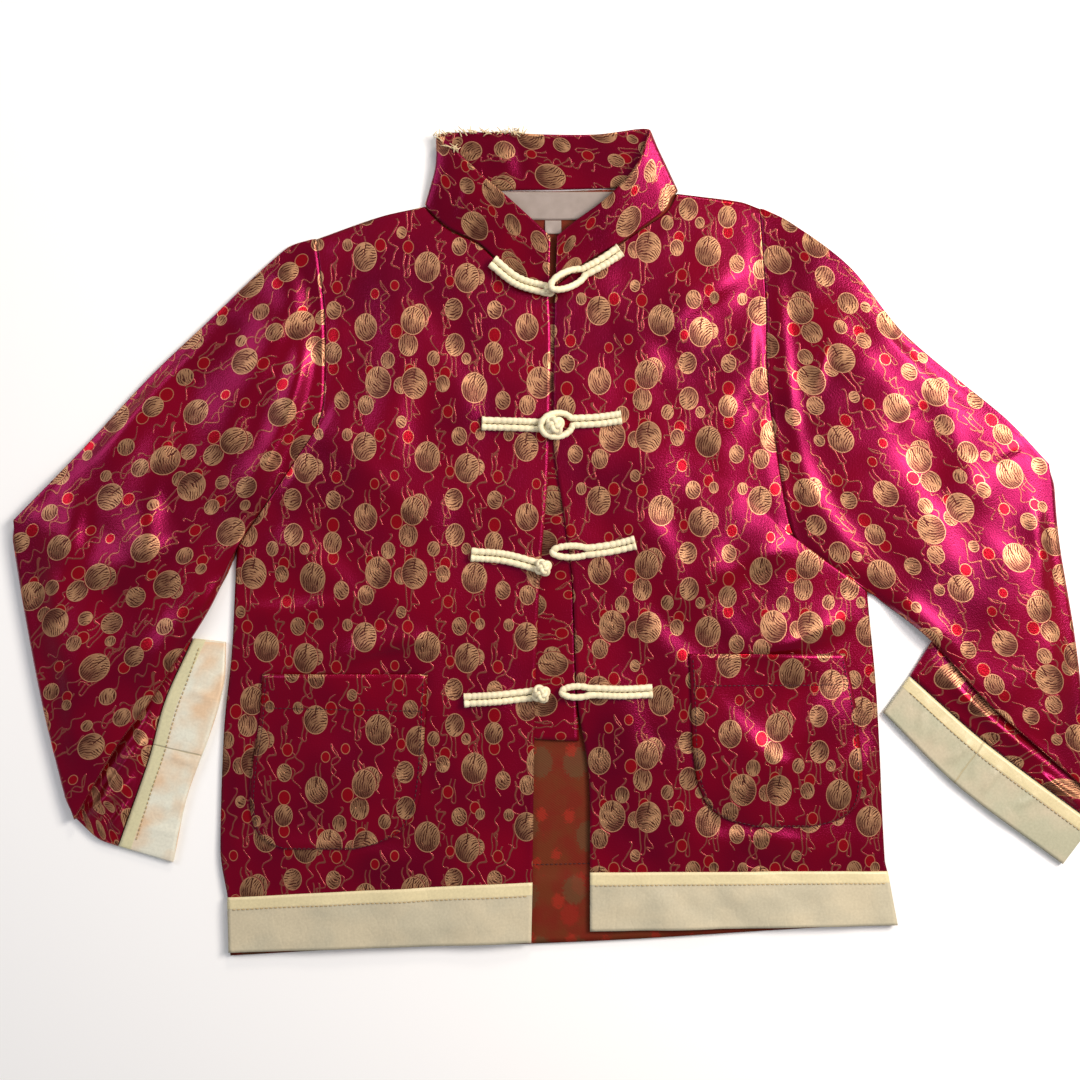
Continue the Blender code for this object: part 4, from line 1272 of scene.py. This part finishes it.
# Columns of knot: x, y of the cut outer end, of the arm's middle and of the knot.
# Columns of loop: x, y of the cut outer end, of the loop's neck and of its tip.
FROGS = [
    {
        "knot": [(-54, 230), (-34, 214.5), (-9, 207)],
        "knot_radius": 3.9,
        "loop": [(48, 239), (20, 222), (-7, 208)],
        "half_width": 6.2,
        "lift": 8.6,
        "raised": 2.6,
    },
    {
        "knot": [(-62.5, 101), (-30, 100), (-4.8, 99)],
        "knot_radius": 7.2,
        "loop": [(49, 106), (10, 102.5), (-15, 97)],
        "half_width": 9.3,
        "lift": 6.4,
        "raised": 0.0,
    },
    {
        "knot": [(-71, -3.6), (-44, -6), (-13.5, -14)],
        "knot_radius": 6.0,
        "loop": [(60, 6), (24, -1), (-6, -1.5)],
        "half_width": 4.6,
        "lift": 0.0,
        "raised": 0.0,
    },
    {
        "knot": [(-76.5, -120), (-48, -118), (-15.2, -114.5)],
        "knot_radius": 6.4,
        "loop": [(73.5, -112.5), (26, -113), (1.5, -113.5)],
        "half_width": 4.4,
        "lift": 0.0,
        "raised": 0.0,
    },
]

tube_satin, tree, surface = new_material("cream satin tubing")
cloth = on_cloth(tree)
turned = add(tree, "VectorRotate", {"Vector": cloth, "Angle": 0.78}, rotation_type="Z_AXIS")
drawn = vector(tree, "MULTIPLY", turned, (2.2, 0.35, 1.0))
threads = add(tree, "TexNoise", {"Vector": drawn, "Scale": 1.0, "Detail": 3.0})
soil = add(tree, "TexNoise", {"Vector": cloth, "Scale": 0.12, "Detail": 3.0})
cream = mixed(tree, soil, linear("#d6c99e"), linear("#f0e6c6"))
relief = add(tree, "Bump", {"Strength": 0.6, "Distance": 0.35 * MM, "Height": threads})
shader = add(
    tree,
    "BsdfPrincipled",
    {
        "Base Color": cream,
        "Roughness": 0.46,
        "Normal": relief,
        "Sheen Weight": 0.25,
        "Sheen Roughness": 0.35,
    },
)
tree.links.new(shader, surface)


def tube_grid(path, radius, around):
    """Rings of points round a path: at each point a circle of the path's radius there, in
    the plane across the path."""
    run = np.gradient(path, axis=0)
    run /= np.linalg.norm(run, axis=1, keepdims=True)
    side = np.cross(np.broadcast_to([0.0, 0.0, 1.0], run.shape), run)
    side /= np.maximum(np.linalg.norm(side, axis=1, keepdims=True), 1e-6)
    lift = np.cross(run, side)
    turn = np.linspace(0, 2 * math.pi, around, endpoint=False)[None, :, None]
    radius = np.broadcast_to(radius, (len(path),))[:, None, None]
    return (
        path[:, None]
        + side[:, None] * np.cos(turn) * radius
        + lift[:, None] * np.sin(turn) * radius
    )


def tube_mesh(name, grids, closed, looks):
    """One mesh of several tubes. A closed one joins its last ring to its first, and an open
    one is capped with a point at each end. The cloth's place runs round and along."""
    points, faces, weave, start = [], [], [], 0
    for grid, is_closed in zip(grids, closed):
        rings, around = grid.shape[:2]
        index = start + np.arange(rings * around).reshape(rings, around)
        ahead = np.roll(index, -1, axis=0) if is_closed else index[1:]
        here = index if is_closed else index[:-1]
        quads = np.stack(
            [here, np.roll(here, -1, axis=1), np.roll(ahead, -1, axis=1), ahead], axis=-1
        ).reshape(-1, 4)
        points.append(grid.reshape(-1, 3))
        faces += quads.tolist()
        length = np.linalg.norm(np.diff(grid.mean(axis=1), axis=0), axis=1)
        run = np.concatenate([[0.0], np.cumsum(length)])
        row = np.repeat(np.arange(len(here)), around)
        column = np.tile(np.arange(around), len(here))
        ahead_run = np.append(run[1:], run[-1] + length.mean())[row]
        girth = 2 * math.pi * CORD_RADIUS / around
        corners = np.stack(
            [
                np.column_stack([column * girth, run[row]]),
                np.column_stack([(column + 1) * girth, run[row]]),
                np.column_stack([(column + 1) * girth, ahead_run]),
                np.column_stack([column * girth, ahead_run]),
            ],
            axis=1,
        )
        weave.append(corners.reshape(-1, 2))
        start += rings * around
        if not is_closed:
            tips = grid[[0, -1]].mean(axis=1)
            points.append(tips)
            for tip, ring, flip in ((start, index[0], True), (start + 1, index[-1], False)):
                after = np.roll(ring, -1)
                fan = np.column_stack([after, ring, np.full(around, tip)])
                faces += (fan if flip else fan[:, ::-1]).tolist()
                weave.append(np.tile([[0.0, 0.0], [girth, 0.0], [0.0, girth]], (around, 1)))
            start += 2
    mesh = bpy.data.meshes.new(name)
    mesh.from_pydata((np.concatenate(points) * MM).tolist(), [], faces)
    layer = mesh.uv_layers.new(name="weave")
    layer.data.foreach_set("uv", (np.concatenate(weave) * MM).ravel())
    for material in looks:
        mesh.materials.append(material)
    mesh.shade_smooth()
    made = bpy.data.objects.new(name, mesh)
    bpy.context.scene.collection.objects.link(made)
    return made


def beside(line, distance):
    """The line moved sideways by a distance, in the plane."""
    run = np.gradient(line, axis=0)
    run /= np.linalg.norm(run, axis=1, keepdims=True)
    return line + np.column_stack([-run[:, 1], run[:, 0]]) * distance


def crimped(path, seed):
    """The tube's radius along a path: gathered at each stitch by the power of a sine, a
    little uneven, and flared at the two cut ends."""
    run = np.concatenate([[0.0], np.cumsum(np.linalg.norm(np.diff(path, axis=0), axis=1))])
    uneven_step = run / CRIMP + 0.35 * np.sin(run / 7.3 + seed)
    gather = np.abs(np.sin(math.pi * uneven_step)) ** 0.5
    from_end = np.minimum(run, run[-1] - run)
    flare = 1 + 0.14 * np.exp(-((from_end / 3.0) ** 2))
    return CORD_RADIUS * (0.82 + 0.24 * gather) * flare


def knot_path(points):
    """A tube from its cut end to the knot, round inside it and back beside itself."""
    arm = along(points, 70)
    go, back_again = beside(arm, CORD_SPACING), beside(arm, -CORD_SPACING)
    run = (arm[-1] - arm[-2]) / np.linalg.norm(arm[-1] - arm[-2])
    turn = np.linspace(math.pi / 2, -math.pi / 2, 9)[1:-1, None]
    side = np.array([-run[1], run[0]])
    bend = arm[-1] + CORD_SPACING * (np.cos(turn) * run + np.sin(turn) * side)
    return np.vstack([go, bend, back_again[::-1]])


def loop_path(points, half_width):
    """A tube from its cut end to the loop's neck, round an ellipse to the tip, and back.
    Also how far each point is on the way from the neck to the tip."""
    outer, neck, tip = np.array(points, float)
    centre, half = (neck + tip) / 2, (tip - neck) / 2
    run = half / np.linalg.norm(half)
    side = np.array([-run[1], run[0]])
    joins = math.pi - math.asin(CORD_SPACING / half_width)
    turn = np.linspace(joins, -joins, 61)[:, None]
    loop = centre + half * np.cos(turn) + side * half_width * np.sin(turn)
    arm = along([outer, (outer + neck) / 2 + side * 0.8, neck], 48)
    go, back_again = beside(arm, CORD_SPACING)[:-1], beside(arm, -CORD_SPACING)[:-1]
    path = np.vstack([go, loop, back_again[::-1]])
    return path, ((path - neck) @ run) / np.linalg.norm(tip - neck)


def on_front(path, panel, height):
    """An x, y path laid on a front, its middle a height above the cloth."""
    return np.column_stack([path, lying_on(panel, path) + CLOTH + 0.1 + height])


def button_knot(centre, radius):
    """The turns of a button knot: one closed path that winds three times round the ball
    while it crosses four times between the rim and the crown, over and under itself."""
    t = np.linspace(0, 6 * math.pi, 260, endpoint=False)
    polar = 0.95 + 0.62 * np.cos(4 * t / 3)
    out = radius * (0.80 + 0.16 * np.sin(8 * t / 3))
    x = out * np.sin(polar) * np.cos(t)
    y = out * np.sin(polar) * np.sin(t)
    return np.column_stack([x, y, out * np.cos(polar)]) + centre


for number, row in enumerate(FROGS, start=1):
    base = CORD_RADIUS + row["raised"]
    path = on_front(knot_path(row["knot"]), front_right, base)
    x, y = row["knot"][-1]
    level = lying_on(front_right, np.array([[x, y]], float))[0] + CLOTH + row["raised"]
    radius = row["knot_radius"]
    ball = np.array([x, y, level + radius])
    wound = button_knot(ball, radius)
    strand = radius * 0.30
    core = np.linspace(-0.99, 0.99, 13)
    pole = ball + np.column_stack([0 * core, 0 * core, core * radius * 0.72])
    core_radius = radius * 0.72 * np.sqrt(1 - core**2)
    turn = np.linspace(0, 2 * math.pi, AROUND_CORD, endpoint=False)[None, :]
    core_grid = np.stack(
        [
            pole[:, :1] + core_radius[:, None] * np.cos(turn),
            pole[:, 1:2] + core_radius[:, None] * np.sin(turn),
            pole[:, 2:] + 0 * turn,
        ],
        axis=-1,
    )
    arm = tube_grid(path, crimped(path, number), AROUND_CORD)
    grids = [arm, tube_grid(wound, strand, AROUND_CORD), core_grid]
    knot = tube_mesh(f"button_knot_{number}", grids, [False, True, False], [tube_satin])
    settle(knot, [f"frog_knot_{number}"])

    path, share = loop_path(row["loop"], row["half_width"])
    placed = on_front(path, front_left, base)
    placed[:, 2] += row["lift"] * ease(share)
    tube = tube_grid(placed, crimped(path, number + 4), AROUND_CORD)
    loop = tube_mesh(f"button_loop_{number}", [tube], [False], [tube_satin])
    settle(loop, [f"frog_loop_{number}"])


# The stitching.
# Cotton-wrapped polyester thread: cream rows that hold the allowance inside the bands and
# the cuffs, and dark red ones round the pockets and along the hems turned in.

STITCH = 2.6
STITCH_GAP = 1.1
STITCH_RADIUS = 0.34


def thread_material(name, colour):
    """Spun sewing thread: the colour with a fine twist across it."""
    made, tree, surface = new_material(name)
    place = add(tree, "TexCoord", out=3)
    twist = add(tree, "TexNoise", {"Vector": place, "Scale": 1400.0, "Detail": 1.0})
    dark = tuple(c * 0.72 for c in linear(colour)[:3]) + (1.0,)
    tint = mixed(tree, twist, dark, linear(colour))
    shader = add(tree, "BsdfPrincipled", {"Base Color": tint, "Roughness": 0.6})
    tree.links.new(shader, surface)
    return made


def stitch_grids(line):
    """Each stitch is a short tube with pinched ends that dips at both. They follow the line
    one after the other, a little uneven in their slant."""
    step = np.linalg.norm(np.diff(line, axis=0), axis=1)
    run = np.concatenate([[0.0], np.cumsum(step)])
    starts = np.arange(1.0, run[-1] - STITCH, STITCH + STITCH_GAP)
    share = np.linspace(0, 1, 5)
    at = starts[:, None] + STITCH * share
    path = np.stack([np.interp(at, run, line[:, k]) for k in range(3)], axis=-1)
    path[..., 2] += 0.1 + 0.32 * np.sin(math.pi * share)
    slant = 0.10 * np.sin(np.arange(len(starts)) * 2.4)
    path[..., 1] += slant[:, None] * (share - 0.5) * 2
    radius = STITCH_RADIUS * (0.45 + 0.55 * np.sin(math.pi * (0.1 + 0.8 * share)))
    return [tube_grid(one, radius, AROUND_THREAD) for one in path]


def stitched(name, lines, look, nodes):
    """One piece of stitches along several lines."""
    grids = [grid for line in lines for grid in stitch_grids(line)]
    made = tube_mesh(name, grids, [False] * len(grids), [look])
    settle(made, nodes)


cream_thread = thread_material("cream sewing thread", "#b89c68")
red_thread = thread_material("dark red sewing thread", "#3c0612")
rows_of_bands = [
    band_grids[side][round(HEM_ROWS * STRIP / HEM_DEPTH), 1:-1] + [0, 0, CLOTH]
    for side in ("right", "left")
]
front_bands = ["hem_band_right", "hem_band_left"]
stitched("band_stitching", rows_of_bands, cream_thread, front_bands)
stitched(
    "cuff_stitching",
    [cuff_rows[side] + [0, 0, 0.15] for side in ("right", "left")],
    cream_thread,
    ["cuff_right", "cuff_left"],
)
pocket_lines = []
for side, hem in (("right", 8), ("left", 7)):
    grid = pocket_grids[side]
    rim = np.concatenate([grid[1:, 1], grid[-2, 2:-2], grid[:0:-1, -2]])
    pocket_lines += [grid[hem, 1:-1] + [0, 0, 1.0], rim + [0, 0, 1.0]]
stitched("pocket_stitching", pocket_lines, red_thread, ["pocket_right", "pocket_left"])
hem_line = raise_to(back_flat[None, -21, 4:-4], CLOTH)[0]
stitched("back_hem_stitching", [hem_line], red_thread, ["back"])


# The frayed ends.
# The gilt weft has come loose along the right half of the collar's top edge and stands up
# as a fringe of short gold and cream ends.

dice = np.random.default_rng(64)
gold_thread = thread_material("frayed gilt weft", "#dcc69a")
ends = []
top_edge = raised_top[(raised_top[:, 0] < -28) & (raised_top[:, 1] > 316)]
for start in top_edge[dice.integers(0, len(top_edge), 70)]:
    heading = np.array([dice.normal(-0.5, 0.9), dice.normal(0.7, 0.5), 0.0])
    heading /= np.linalg.norm(heading)
    reach, bend = dice.uniform(2.0, 7.0), dice.normal(0, 1.8)
    t = np.linspace(0, 1, 6)[:, None]
    across = np.array([-heading[1], heading[0], 0.0])
    path = start + dice.normal(0, 1.2, 3) * [1, 1, 0.6] + heading * reach * (t - 0.35)
    path = path + across * bend * t**2 + [0, 0, 1.0] * (0.9 + 1.4 * np.sin(math.pi * t))
    path[:, 1] = np.minimum(path[:, 1], 340.5)
    ends.append(tube_grid(path, 0.55 * (1 - 0.5 * t[:, 0]), AROUND_THREAD))
fringe = tube_mesh("frayed_collar_ends", ends, [False] * len(ends), [gold_thread])
settle(fringe, ["collar"])
